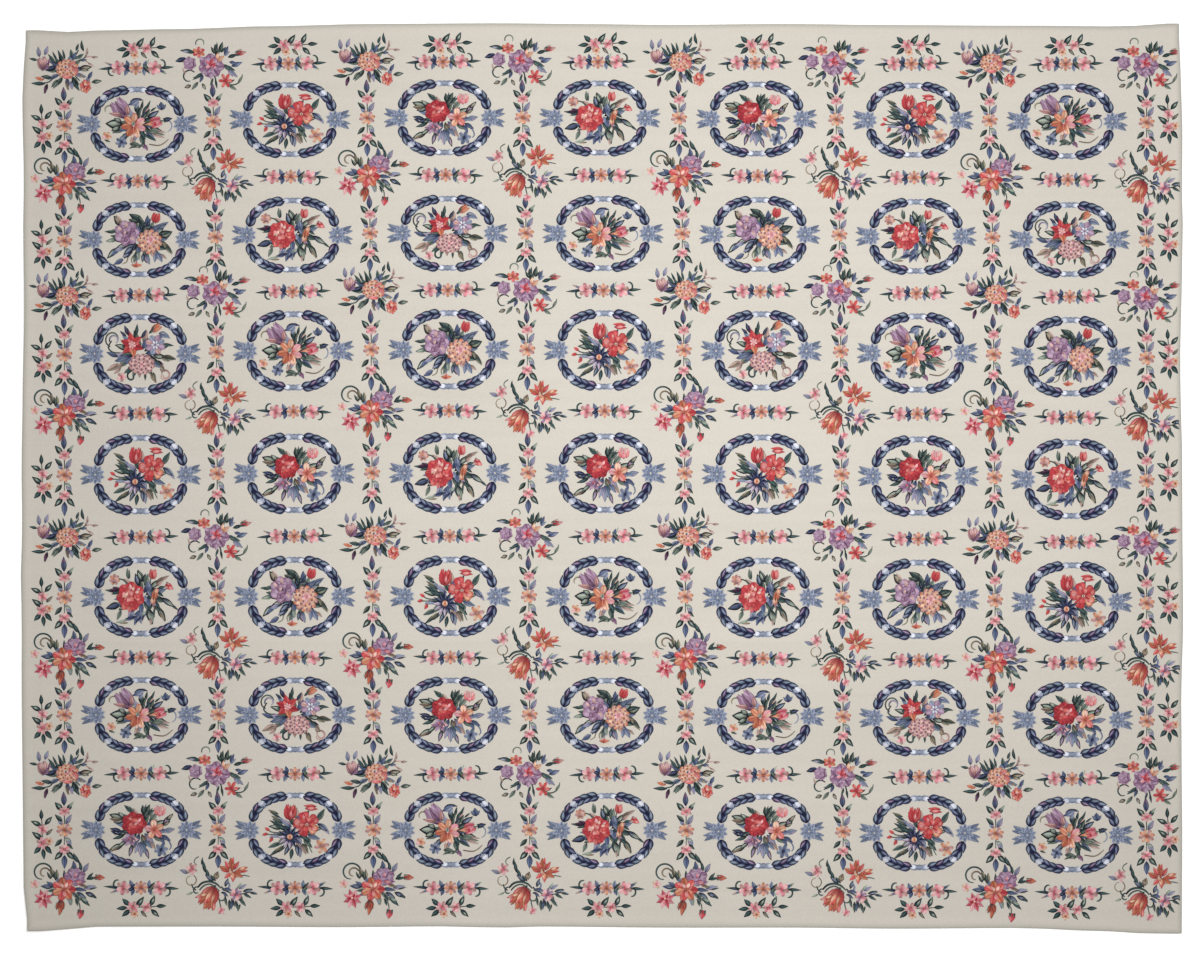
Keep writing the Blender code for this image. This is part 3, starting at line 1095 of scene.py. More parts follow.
@dataclass
class Studio:
    """White floor, soft light from above and a camera straight over the rug."""

    floor_size: float = 60.0
    floor_glow: float = 0.42
    floor_white: float = 0.86
    camera_height: float = 9.0
    frame_width: float = 3.7146
    frame_centre: Place = (-0.0063, -0.0048)
    sensor: float = 36.0
    key_place: tuple[float, float, float] = (0.40, 0.50, 4.1)
    key_size: float = 1.6
    key_power: float = 132.0
    sky: float = 0.34

    def build(self) -> None:
        """Adds the floor, the light, the sky and the camera."""
        self._floor()
        self._key()
        self._sky()
        self._camera()
        bpy.context.scene.view_settings.view_transform = "Standard"

    def _floor(self) -> None:
        """A plain white floor that glows a little, so that it stays white."""
        bpy.ops.object.select_all(action="DESELECT")
        bpy.ops.mesh.primitive_plane_add(size=self.floor_size)
        floor = bpy.context.object
        floor.name = "studio_floor"
        material = bpy.data.materials.new("studio_white")
        material.use_nodes = True
        shader = material.node_tree.nodes["Principled BSDF"]
        shader.inputs["Base Color"].default_value = (*[self.floor_white] * 3, 1.0)
        shader.inputs["Roughness"].default_value = 1.0
        shader.inputs["Specular IOR Level"].default_value = 0.0
        shader.inputs["Emission Color"].default_value = (1.0, 1.0, 1.0, 1.0)
        shader.inputs["Emission Strength"].default_value = self.floor_glow
        floor.data.materials.append(material)

    def _key(self) -> None:
        """One soft light over the rug's upper middle."""
        lamp = bpy.data.lights.new("key", "AREA")
        lamp.shape = "DISK"
        lamp.size = self.key_size
        lamp.energy = self.key_power
        light = bpy.data.objects.new("key", lamp)
        light.location = self.key_place
        bpy.context.scene.collection.objects.link(light)

    def _sky(self) -> None:
        """Even light from all round."""
        world = bpy.data.worlds.new("sky")
        world.use_nodes = True
        background = world.node_tree.nodes["Background"]
        background.inputs["Color"].default_value = (1.0, 1.0, 1.0, 1.0)
        background.inputs["Strength"].default_value = self.sky
        bpy.context.scene.world = world

    def _camera(self) -> None:
        """A long lens straight down, framed as the picture is."""
        lens = bpy.data.cameras.new("camera")
        lens.sensor_width = self.sensor
        low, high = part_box(CAD_NODE)
        lens.lens = self.sensor * (self.camera_height - high[2] / 2) / self.frame_width
        camera = bpy.data.objects.new("camera", lens)
        camera.location = (*self.frame_centre, self.camera_height)
        bpy.context.scene.collection.objects.link(camera)
        bpy.context.scene.camera = camera


@dataclass
class Wreath:
    """An oval wreath of laurel with pale ties."""

    name: str = "wreaths"
    half_wide: float = 135.0
    half_tall: float = 107.0
    squareness: float = 2.45
    tie_angle: float = 44.5
    side_run: Place = (10.0, 40.0)
    side_pairs: tuple[float, ...] = (0.80, 0.30)
    side_leaf: Place = (36.0, 16.5)
    top_run: Place = (81.0, 49.5)
    top_pairs: tuple[float, ...] = (0.82, 0.49, 0.16)
    top_leaf: Place = (35.0, 16.5)
    splay: float = 15.0

    def place(self, angle: float) -> tuple[float, float, float]:
        """Where the wreath's middle line is at an angle, and its heading there, in degrees."""

        def spot(turn: float) -> tuple[float, float]:
            """A point of the oval."""
            run, rise = cos(radians(turn)), sin(radians(turn))
            power = 2 / self.squareness
            return (
                self.half_wide * copysign(abs(run) ** power, run),
                self.half_tall * copysign(abs(rise) ** power, rise),
            )

        x, y = spot(angle)
        x_on, y_on = spot(angle + 1)
        x_back, y_back = spot(angle - 1)
        return x, y, atan2(y_on - y_back, x_on - x_back) * 180 / pi

    def chart(self) -> Chart:
        """Draws the wreath.

        Returns:
            The wreath round its own centre.
        """
        chart = Chart()
        self._ties(chart)
        for mirror_x in (1, -1):
            for mirror_y in (1, -1):
                self._laurel(chart, self.side_run, self.side_pairs, self.side_leaf, mirror_x, mirror_y)
                self._laurel(chart, self.top_run, self.top_pairs, self.top_leaf, mirror_x, mirror_y)
        return chart

    def _ties(self, chart: Chart) -> None:
        """The pale bands at the top, the foot and the four shoulders."""
        for side in (1, -1):
            height = side * self.half_tall
            chart.form(Cut.BUD, Tone.TIE, -20, height, 40, 19, 180)
            chart.form(Cut.BUD, Tone.TIE, 20, height, 40, 19, 0)
            chart.form(Cut.DISC, Tone.SLATE, 0, height, 16, 18, 0)
            chart.form(Cut.DISC, Tone.TIE, 0, height, 12, 20, 90)
            for x in (-20, 20):
                chart.form(Cut.DISC, Tone.PEARL, x, height - side * 1.5, 20, 12, 0)
        for mirror_x in (1, -1):
            for mirror_y in (1, -1):
                x, y, heading = self.place(self.tie_angle)
                turned = (heading if mirror_x == 1 else 180 - heading) * mirror_y
                x, y = mirror_x * x, mirror_y * y
                chart.form(Cut.DISC, Tone.TIE, x * 0.96, y * 0.96, 30, 20, turned)
                chart.form(Cut.DISC, Tone.PEARL, x * 1.04, y * 1.03, 24, 13, turned)

    def _laurel(
        self, chart: Chart, run: Place, pairs: tuple[float, ...], leaf: Place, mirror_x: int, mirror_y: int
    ) -> None:
        """One run of laurel, whose leaf pairs point at the shoulder tie.

        Args:
            chart: the wreath so far.
            run: the run's first and last angle, the tie's last.
            pairs: how far along the run each pair is, the pair by the tie first.
            leaf: length and width of a leaf.
            mirror_x: -1 on the left.
            mirror_y: -1 below.
        """
        start, stop = run
        length, width = leaf
        forward = 0.0 if stop > start else 180.0
        places = [self.place(start + (stop - start) * share / 4) for share in range(5)]
        chart.stem(Tone.NIGHT, width * 0.7, *[(mirror_x * x, mirror_y * y) for x, y, _ in places])
        tones = (Tone.LAUREL, Tone.LAUREL_TEAL, Tone.LAUREL, Tone.LAUREL_TEAL, Tone.LAUREL_PLUM)
        for number, share in enumerate(pairs):
            x, y, heading = self.place(start + (stop - start) * share)
            reach = hypot(x, y)
            for side in (1, -1):
                out = 1 + side * width * 0.47 / reach
                lean = heading + forward - side * self.splay * (1 if forward == 0 else -1)
                turned = (lean if mirror_x == 1 else 180 - lean) * mirror_y
                tone = tones[(2 * number + (side > 0) + mirror_x - mirror_y) % len(tones)]
                spot_x, spot_y = mirror_x * x * out, mirror_y * y * out
                chart.form(Cut.LEAF, Tone.NIGHT, spot_x, spot_y, length, width, turned)
                chart.form(Cut.LEAF, tone, spot_x, spot_y, length * 0.84, width * 0.66, turned)


@dataclass
class WreathKnots:
    """The two blue leaf knots of a wreath, one at each side, stitched over its laurel."""

    name: str = "wreath_knots"
    knot_x: float = 140.0
    laurel_layers: int = 110

    def chart(self) -> Chart:
        """Draws both knots, each with forked points outwards."""
        chart = Chart(self.laurel_layers)
        for side in (1, -1):
            x = side * self.knot_x
            outward = 0 if side > 0 else 180
            for rise in (1, -1):
                for out, up, length, width, lean in ((30, 10, 36, 13, 10), (26, 17, 42, 17, 34)):
                    angle = outward + side * rise * lean
                    chart.form(Cut.LEAF, Tone.MIST, x + side * out, rise * up, length, width, angle)
            for outer, count, width, turn in ((29.0, 10, 19.0, 90), (19.0, 8, 13.0, 70)):
                chart.ring((Tone.KNOT_EDGE,), x, 0, 3, outer, count, width, turn, 1.04, Cut.BUD)
                chart.ring((Tone.KNOT,), x, 0, 3, outer * 0.9, count, width * 0.62, turn, 1.04, Cut.BUD)
        return chart


@dataclass
class DownSpray:
    """The upright spray between wreaths: two buds, dark leaf pairs, pink and peach flowers."""

    name: str = "down_sprays"

    def chart(self) -> Chart:
        """Draws the spray.

        Returns:
            The spray round its peach flower.
        """
        chart = Chart()
        chart.stem(Tone.PINE, 3.4, (-1, 62), (0, 30), (0, 0), (0, -30), (0, -62))
        chart.leaves(Tone.SLATE, (-2, 98, 44, 18, 92), (0, -98, 42, 19, 270))
        chart.leaves(Tone.LILAC_LEAF, (14, -37, 34, 16, 292), (13, 34, 35, 16, 60), (-14, 28, 28, 13, 120))
        chart.leaves(Tone.MULBERRY, (-2, 108, 20, 8, 88), cut=Cut.BLADE)
        chart.leaves(Tone.BLACK, (-18, 74, 35, 18, 133), (16, 73, 27, 15, 56))
        chart.leaves(Tone.BLACK, (-18, -78, 36, 18, 226), (19, -78, 37, 17, 314))
        chart.leaves(Tone.CELADON, (21, 80, 22, 10, 48), (-16, 74, 18, 6, 133), (-19, -79, 19, 6, 226))
        chart.leaves(Tone.CELADON, (18, -77, 19, 6, 314), (10, -28, 20, 9, 330))
        chart.leaves(Tone.PINE, (-18, 38, 32, 14, 137), (-19, -39, 32, 14, 226), (17, -50, 24, 11, 320))
        for height in (59, -59):
            chart.ring((Tone.CANDY, Tone.DUSTY, Tone.PINK), 0, height, 1, 18, 6, 12, 90, 0.8)
            chart.dots(Tone.CERISE, 6, (0, height))
        chart.ring((Tone.APRICOT, Tone.DUSTY, Tone.PEACH), 0, 1, 2, 25, 8, 13, 12, 0.82)
        chart.dots(Tone.RUST, 8, (0, 1))
        return chart


@dataclass
class AcrossSpray:
    """The level spray between wreaths: three flowers in a row with curls at both ends."""

    name: str = "across_sprays"

    def chart(self) -> Chart:
        """Draws the spray.

        Returns:
            The spray round its middle flower, with its left curl above.
        """
        chart = Chart()
        chart.stem(Tone.NAVY, 3.4, (-84, -1), (-40, -2), (0, 0), (40, -1), (84, -2))
        chart.leaves(Tone.BLACK, (-92, 2, 50, 9, 176), (94, -2, 46, 10, -4))
        chart.leaves(Tone.NAVY, (-84, -1, 30, 6, 178))
        chart.leaves(Tone.CELADON, (84, 12, 24, 9, 32), (33, -16, 27, 8, 300))
        chart.leaves(Tone.TAUPE, (-85, -12, 27, 8, 202))
        chart.curl(Tone.BLACK, -72, 12, 16, 250, -170, 5.4, 0.7)
        chart.curl(Tone.BLACK, 74, -14, 17, 62, -150, 5.4, 0.7)
        chart.leaves(Tone.MIST, (-31, 12, 26, 14, 112), (24, 12, 24, 13, 84), (-76, -8, 24, 10, 200))
        chart.leaves(Tone.SLATE, (-27, -13, 24, 13, 252), (27, -12, 24, 12, 290), (76, 8, 24, 11, 24))
        chart.leaves(Tone.NAVY, (-33, -5, 26, 11, 210, -50), (-26, 5, 22, 9, 40))
        chart.leaves(Tone.PINE, (33, 6, 29, 11, 46, 30), (30, -5, 22, 9, 220))
        for x in (-56, 56):
            chart.ring((Tone.PINK, Tone.DUSTY, Tone.CANDY), x, -1, 2, 22, 6, 15, 90 + x * 0.2, 1.0)
            chart.dots(Tone.CERISE, 8, (x, 0))
        chart.ring((Tone.APRICOT, Tone.DUSTY), -1, 0, 2, 21, 8, 11, 0, 1.0)
        chart.dots(Tone.RUST, 8, (0, 1))
        return chart


@dataclass
class EdgeSpray:
    """The short spray along the rug's edges: two pink flowers between dark leaves."""

    name: str = "edge_sprays"

    def chart(self) -> Chart:
        """Draws the spray.

        Returns:
            The spray upright, round its own centre.
        """
        chart = Chart()
        chart.stem(Tone.PINE, 3.2, (-2, 48), (0, 12), (1, -28), (2, -48))
        chart.leaves(
            Tone.BLACK, (-3, 60, 32, 13, 92), (-19, 33, 36, 16, 156), (19, 41, 34, 15, 48),
            (-15, -6, 42, 18, 144), (-15, -50, 30, 16, 226), (19, -49, 33, 16, 310), (4, -62, 34, 14, 276),
        )
        chart.leaves(Tone.EDGED_BROWN, (22, 6, 28, 10, 44))
        chart.leaves(Tone.CELADON, (-20, 34, 16, 6, 156), (20, 42, 14, 6, 48), (-17, -4, 18, 6, 144))
        chart.ring((Tone.DUSTY, Tone.PINK, Tone.CANDY), 1, 14, 2, 16, 6, 11, 80)
        chart.ring((Tone.CANDY, Tone.DUSTY, Tone.PINK), 1, -28, 2, 19, 6, 12, 100)
        chart.ring((Tone.PEACH, Tone.APRICOT), 22, -22, 1, 12, 5, 8, 60)
        chart.dots(Tone.CERISE, 7, (1, 14), (2, -28))
        chart.dots(Tone.RUST, 5, (22, -22))
        return chart


@dataclass
class Lattice:
    """Where the pattern repeats, in metres. Rows run from the top, columns from the left."""

    wreath_x: tuple[float, ...] = (-1.4285, -0.953, -0.4715, 0.0105, 0.496, 0.979, 1.453)
    wreath_y: tuple[float, ...] = (1.1165, 0.759, 0.3985, 0.017, -0.365, -0.7326, -1.0888)
    row_slips: tuple[Place, ...] = (
        (-0.5, -0.022), (0.0, -0.0175), (1.0, -0.0075), (2.0, -0.003), (3.0, 0.0), (5.0, 0.0045)
    )
    slip_span: float = 8.0
    tall_rows: tuple[int, ...] = (2, 3, 4)
    taller: float = 1.06
    post_x: tuple[float, ...] = (-1.6643, -1.1915, -0.712, -0.2285, 0.256, 0.742, 1.215, 1.686)
    band_y: tuple[float, ...] = (1.290, 0.940, 0.583, 0.210, -0.178, -0.554, -0.915, -1.2675)
    bow: float = 0.00108
    bow_column: float = 2.15
    corner_reach: float = 2.2
    left_sag: tuple[Place, ...] = ((1.0, -0.017), (3.0, 0.0), (5.0, 0.007))
    right_rise: tuple[Place, ...] = (
        (-0.5, 0.010), (1.0, -0.004), (2.0, -0.0065), (3.5, -0.003), (5.0, 0.001)
    )
    even_slip: Place = (0.0045, -0.005)
    odd_slip: Place = (0.0023, 0.004)
    side_x: tuple[float, float] = (-1.733, 1.753)
    side_drop: tuple[float, float] = (-0.013, 0.009)
    end_y: tuple[float, float] = (1.3465, -1.3265)
    end_dip: tuple[float, float] = (0.75, 0.5)
    end_slip: tuple[float, float] = (-0.006, 0.0045)
    corner_slip: float = 0.012
    bouquets: tuple[str, ...] = (
        "ABCDCBA", "EDFAEDF", "FAEBFAE", "BCDCBCD", "DEBADEB", "AFCEAFC", "CBADCBA"
    )

    def nearness(self, columns: float) -> float:
        """1 at a side of the rug, easing to 0 at the reach of its corners."""
        return float(eased(1.0 - columns / self.corner_reach))

    def dip(self, row: float, column: float) -> float:
        """How far the pattern sinks at a row and column, because the cloth is bowed and drawn."""
        to_right = len(self.wreath_x) - 0.5 - column
        left = self.nearness(column + 0.5) * float(np.interp(row, *zip(*self.left_sag)))
        right = self.nearness(to_right) * float(np.interp(row, *zip(*self.right_rise)))
        return left + right - self.bow * (column - self.bow_column) ** 2

    def shift(self, row: float, column: float) -> float:
        """Sideways slip of a row, most in its middle. The two outermost posts don't share it."""
        share = 0.5 + 0.5 * sin(pi * (column + 0.5) / self.slip_span)
        return share * float(np.interp(row, *zip(*self.row_slips)))

    def wreath(self, row: int, column: int) -> Spot:
        """Where a wreath goes."""
        tall = self.taller if row in self.tall_rows else 1.0
        x = self.wreath_x[column] + self.shift(row, column)
        return Spot(x, self.wreath_y[row] + self.dip(row, column), 0.0, 1.0, tall)

    def wreaths(self, kind: str | None = None) -> list[Spot]:
        """Every wreath, or those that hold one kind of bouquet."""
        return [
            self.wreath(row, column)
            for row, kinds in enumerate(self.bouquets)
            for column, held in enumerate(kinds)
            if kind in (None, held)
        ]

    def post(self, row: float, column: int) -> float:
        """Where the middle of a post is at a row. The two outermost posts run straight."""
        outermost = column in (0, len(self.post_x) - 1)
        return self.post_x[column] + (0.0 if outermost else self.shift(row, column - 0.5))

    def posies(self, odd_row: bool, odd_column: bool) -> list[Spot]:
        """Junctions of one kind: kinds alternate by row and by column."""
        slip_x, slip_y = self.odd_slip if odd_column else self.even_slip
        return [
            Spot(self.post(row - 0.5, column) + slip_x, y + self.dip(row - 0.5, column - 0.5) + slip_y)
            for row, y in enumerate(self.band_y)
            for column in range(len(self.post_x))
            if (row % 2, column % 2) == (int(odd_row), int(odd_column))
        ]

    def down_sprays(self) -> list[Spot]:
        """Upright sprays, between junctions."""
        return [
            Spot(self.post(row, column), y + self.dip(row, column - 0.5), 0.0, 1.0,
                 self.taller if row in self.tall_rows else 1.0)
            for row, y in enumerate(self.wreath_y)
            for column in range(len(self.post_x))
        ]

    def across_sprays(self) -> list[Spot]:
        """Level sprays, between junctions, turned over in every other row."""
        return [
            Spot(x + self.shift(row - 0.5, column), y + self.dip(row - 0.5, column), 0.0, 1.0,
                 1.0 if row % 2 else -1.0)
            for row, y in enumerate(self.band_y)
            for column, x in enumerate(self.wreath_x)
        ]

    def edge_sprays(self) -> list[Spot]:
        """Short sprays along the four edges, turned to run with them."""
        spots = []
        last = len(self.wreath_x) - 1
        for row, y in enumerate(self.wreath_y):
            for x, drop, column in zip(self.side_x, self.side_drop, (0, last)):
                spots.append(Spot(x, y + self.dip(row, column) + drop))
        for y, dip, slip, row, corner in zip(
            self.end_y, self.end_dip, self.end_slip, (-0.5, last), (self.corner_slip, 0.0)
        ):
            for column, x in enumerate(self.wreath_x):
                along = x + slip + corner * self.nearness(column + 0.5)
                spots.append(Spot(along, y + self.dip(row, column) * dip, -90.0))
        return spots


class Bouquet:
    """A posy inside a wreath. Each kind has a method that draws it, lowest forms first."""

    @staticmethod
    def lily() -> Chart:
        """Peach lily, mauve tulip, pink rosebud and a periwinkle flower."""
        c = Chart()
        c.greens(8)
        c.stem(Tone.BLACK, 4.0, (14, -34), (22, -48), (15, -62), (21, -75))
        c.stem(Tone.BROWN, 4.0, (37, -62), (66, -66), (84, -58), (97, -46))
        c.curl(Tone.OLIVE, -88, 44, 14, 20, 190, 4.4, 0.8)
        c.curl(Tone.HAZE, 88, -6, 20, 60, -130, 4.0, 0.9)
        c.leaves(Tone.BLACK, (-60, 29, 56, 9, 172, -14), (24, 46, 34, 9, 60), (15, 58, 30, 9, 78))
        c.leaves(
            Tone.BLACK, (35, 60, 30, 8, 66), (50, 46, 24, 7, 38),
            (41, -42, 40, 10, -30), (28, -36, 26, 8, -44),
        )
        c.leaves(Tone.PINE, (8, 42, 36, 11, 66), (32, 34, 30, 14, 62), (20, 24, 26, 12, 55))
        c.leaves(Tone.EDGED_SAGE, (-72, 0, 52, 32, 176), (-66, -14, 30, 20, 205), (-60, 12, 26, 16, 150))
        c.leaves(Tone.SAGE, (60, -28, 52, 13, -12), (48, -22, 34, 12, 4), (-4, -65, 40, 18, -12))
        c.leaves(Tone.TAUPE, (66, -36, 40, 10, -18), (74, -24, 30, 8, -6))
        c.leaves(Tone.PINE, (-14, -70, 26, 8, 200, 40), (12, -66, 24, 7, 40, -40))
        c.leaves(Tone.SLATE, (75, 56, 26, 20, 96), (67, 52, 20, 9, 130), (84, 53, 20, 9, 58))
        c.leaves(Tone.NAVY, (-6, 74, 34, 14, 20), (8, 76, 24, 8, 350), (-20, 62, 18, 9, 200))
        c.leaves(Tone.PERIWINKLE, (-8, 68, 34, 18, 30), (0, 60, 22, 12, 60), (-4, 54, 14, 8, 80))
        c.leaves(Tone.MULBERRY, (27, -72, 22, 12, 300), (22, -68, 14, 8, 250))
        c.bud(Tone.NAVY, Tone.BLACK, 95, 15, 27, 15, 14)
        c.tulip((Tone.MAUVE, Tone.LILAC), -52, 50, 64, 56, 128)
        c.leaves(Tone.DUSTY, (-66, 30, 40, 14, 172), (-30, 44, 34, 14, 100))
        c.leaves(Tone.MULBERRY, (-55, 52, 30, 8, 128), (-44, 44, 20, 6, 120))
        c.ring((Tone.PERIWINKLE, Tone.SLATE), -49, -56, 1, 18, 7, 11, 90)
        c.dots(Tone.NAVY, 8, (-48, -54))
        c.ring((Tone.PEACH, Tone.APRICOT, Tone.CANDY), -94, -37, 1, 14, 5, 11, 60)
        c.leaves(Tone.PINE, (-92, -52, 20, 7, 340))
        c.tulip((Tone.PINK, Tone.CERISE), 58, 6, 38, 38, 20)
        c.leaves(Tone.APRICOT, (38, 4, 34, 9, 14), (36, -2, 30, 8, -4))
        c.leaves(Tone.BLACK, (30, 4, 30, 5, 22), (32, -5, 28, 5, -4))
        c.dots(Tone.CLARET, 9, (56, 0))
        lobes = (Tone.PEACH, Tone.APRICOT, Tone.TANGERINE, Tone.TANGERINE, Tone.CREAM, Tone.CANDY, Tone.CANDY)
        c.ring(lobes, -11, -4, 4, 38, 7, 20, 84)
        c.ring(
            (Tone.APRICOT, Tone.TANGERINE, Tone.RUST, Tone.TANGERINE),
            -11, -5, 4, 27, 8, 7, 150, 1.0, Cut.BLADE,
        )
        c.leaves(Tone.TANGERINE, (-10, -24, 30, 7, 262), (-24, -16, 26, 8, 212), (-2, -22, 26, 5, 290))
        c.leaves(Tone.CREAM, (14, 2, 26, 9, 20), (-14, -36, 16, 9, 262))
        c.dots(Tone.CELADON, 12, (-12, 2))
        c.dots(Tone.OLIVE, 6, (-10, 3))
        return c

    @staticmethod
    def daisy() -> Chart:
        """Navy daisy, red poppies, a red tulip and a frond of dark leaves."""
        c = Chart()
        c.greens(31)
        c.stem(Tone.TEAL, 4.4, (28, -18), (46, -30), (42, -48), (52, -70))
        c.stem(Tone.PINE, 3.4, (-87, 3), (-74, -6), (-50, -10), (-24, -20))
        c.stem(Tone.PINE, 3.4, (-94, -13), (-72, -14), (-50, -12))
        c.leaves(Tone.OLIVE, (-68, 56, 36, 9, 158), (-60, 36, 34, 10, 150))
        c.leaves(Tone.BLACK, (-62, 47, 38, 8, 152), (-64, 22, 36, 9, 152), (-54, 10, 32, 8, 146))
        c.leaves(Tone.TEAL, (-56, 28, 34, 10, 158), (-48, 18, 26, 9, 150), (-66, -47, 40, 14, 202))
        c.leaves(Tone.BLACK, (-60, -66, 50, 12, 216), (-40, -56, 36, 10, 228), (-12, -74, 34, 13, 262))
        c.leaves(Tone.OLIVE, (-50, -58, 36, 10, 212), (31, -57, 36, 16, 300))
        c.leaves(Tone.TEAL, (79, 47, 44, 18, 58), (70, 36, 26, 11, 40))
        c.leaves(Tone.LILAC_LEAF, (88, 7, 44, 18, -40), (12, -67, 36, 18, 282), (98, -4, 24, 9, -52))
        c.leaves(Tone.EDGED_BLUE, (84, 8, 40, 12, -38), (-26, -62, 36, 14, 244), (6, -62, 36, 13, 276))
        c.leaves(Tone.TAUPE, (26, -60, 34, 13, 296))
        c.leaves(Tone.SCARLET, (-87, 3, 18, 11, 150), (-94, -13, 18, 11, 196), (-75, -30, 19, 12, 236))
        c.tulip((Tone.SCARLET, Tone.CORAL), -16, 56, 50, 42, 84)
        c.leaves(Tone.CLARET, (-22, 54, 36, 9, 96), (-6, 58, 30, 8, 70))
        c.leaves(Tone.SALMON, (-14, 50, 24, 8, 84))
        c.leaves(Tone.SCARLET, (46, 74, 40, 12, 176), (50, 66, 40, 13, -4))
        c.leaves(Tone.SALMON, (48, 68, 28, 8, 4))
        c.ring((Tone.PEACH, Tone.APRICOT, Tone.DUSTY), 82, -49, 2, 23, 6, 13, 70)
        c.dots(Tone.DUSTY, 8, (82, -49))
        c.ring(
            (Tone.SCARLET, Tone.CORAL, Tone.SCARLET, Tone.APRICOT, Tone.CORAL),
            34, 19, 5, 40, 5, 33, 105, 0.95, Cut.FAN,
        )
        c.ring((Tone.CORAL, Tone.SCARLET), 36, 18, 3, 25, 6, 16, 80, 0.95, Cut.FAN)
        c.leaves(
            Tone.CLARET, (34, 32, 22, 6, 110), (46, 12, 24, 6, 330), (22, 8, 20, 6, 232), (52, 26, 18, 6, 30),
        )
        c.leaves(Tone.SALMON, (26, 40, 18, 8, 110), (58, 4, 18, 9, 340), (6, 20, 20, 10, 176))
        c.dots(Tone.CREAM, 9, (36, 17))
        c.dots(Tone.PINE, 5, (36, 17))
        petals = (Tone.INK_STAR, Tone.INK_STAR, Tone.NAVY, Tone.INK_STAR, Tone.PALE_STAR, Tone.PALE_STAR,
                  Tone.PALE_STAR, Tone.PALE_STAR, Tone.INK_STAR, Tone.NAVY, Tone.INK_STAR, Tone.INK_STAR)
        c.ring(petals, -17, -22, 6, 40, 12, 12, 60, 1.0, Cut.BLADE)
        c.ring((Tone.NAVY,), -17, -22, 5, 22, 12, 6, 75, 1.0, Cut.BLADE)
        c.dots(Tone.PEACH, 17, (-17, -21))
        c.dots(Tone.TANGERINE, 8, (-16, -20))
        return c

    @staticmethod
    def rose_and_star() -> Chart:
        """Crimson rose, peach star, pink fan and a mauve lily."""
        c = Chart()
        c.greens(52)
        c.leaves(Tone.TEAL, (-40, 65, 34, 15, 140), (-30, 58, 28, 12, 110), (22, 48, 34, 16, 30))
        c.leaves(
            Tone.PINE, (5, 62, 30, 15, 96), (20, 66, 28, 14, 64), (30, 54, 26, 12, 40), (12, 50, 24, 14, 60),
        )
        c.leaves(Tone.BLACK, (12, 68, 24, 6, 80), (28, 60, 22, 6, 46), (-46, 70, 22, 6, 140))
        c.leaves(Tone.EDGED_SAGE, (-78, 40, 46, 24, 160), (-70, 26, 34, 16, 190), (-62, 46, 26, 13, 140))
        c.leaves(Tone.BROWN, (-82, 32, 34, 13, 172))
        c.leaves(Tone.NAVY, (-80, 0, 38, 13, 168), (-70, -10, 30, 10, 200), (-86, -8, 22, 8, 150))
        c.leaves(Tone.BLACK, (-71, -23, 38, 11, 196), (14, -44, 26, 8, 262))
        c.leaves(Tone.EDGED_SAGE, (-78, -54, 48, 19, 202), (-60, -44, 32, 13, 216))
        c.leaves(Tone.BROWN, (-84, -60, 34, 9, 208), (10, -28, 26, 14, 300))
        c.leaves(Tone.DARK_LILAC, (-33, -64, 38, 14, 254), (81, 32, 44, 17, 48), (17, -72, 38, 13, 290))
        c.leaves(Tone.LILAC_LEAF, (-2, -60, 48, 20, 272), (86, -1, 36, 17, 12), (-14, -56, 36, 14, 250))
        c.leaves(Tone.MIST, (8, -56, 40, 15, 290), (22, -44, 34, 14, 310), (76, -4, 26, 12, 340))
        c.leaves(Tone.EDGED_BROWN, (88, 40, 30, 12, 44), (78, 20, 26, 11, 30))
        c.stem(Tone.SLATE, 4.0, (70, -26), (86, -36), (92, -52), (86, -62))
        c.leaves(Tone.SLATE, (76, -25, 34, 14, 330), (66, -34, 26, 12, 300))
        c.ring((Tone.SLATE, Tone.PERIWINKLE, Tone.MIST), 61, -62, 2, 21, 6, 13, 70)
        c.dots(Tone.NAVY, 9, (61, -61))
        c.tulip((Tone.CANDY, Tone.BLUSH), 57, 60, 32, 38, 86)
        c.leaves(Tone.SALMON, (46, 56, 24, 9, 120), (68, 56, 24, 9, 56), (57, 58, 22, 8, 90))
        c.leaves(Tone.PINK, (57, 50, 18, 12, 90))
        c.ring((Tone.LILAC, Tone.MAUVE, Tone.BLUSH, Tone.MAUVE), -35, -30, 3, 27, 6, 15, 240, 0.85, Cut.BLADE)
        c.leaves(Tone.MULBERRY, (-30, -36, 24, 7, 250), (-44, -32, 22, 6, 200), (-22, -30, 18, 6, 310))
        c.dots(Tone.CERISE, 7, (-36, -27))
        c.ring((Tone.CREAM, Tone.CANDY, Tone.PEACH, Tone.SALMON, Tone.PEACH), 40, 1, 3, 30, 5, 20, 96)
        c.ring((Tone.TANGERINE,), 40, 1, 2, 17, 5, 8, 96, 1.0, Cut.BLADE)
        c.ring((Tone.CORAL,), 40, 1, 2, 15, 5, 6, 132, 1.0, Cut.BLADE)
        c.dots(Tone.RUST, 8, (40, 1))
        c.rose((Tone.CLARET, Tone.SCARLET, Tone.CORAL), -23, 20, 78, 72, 100, 7)
        c.leaves(
            Tone.CLARET, (-40, 24, 26, 7, 200),
            (-8, 10, 26, 7, 310), (-24, 38, 24, 6, 10), (-28, 2, 24, 6, 190),
        )
        c.leaves(Tone.SALMON, (-12, 26, 20, 9, 40), (-34, 34, 16, 7, 150))
        c.leaves(Tone.CANDY, (-6, 30, 16, 8, 60), (-18, 18, 13, 7, 20))
        return c

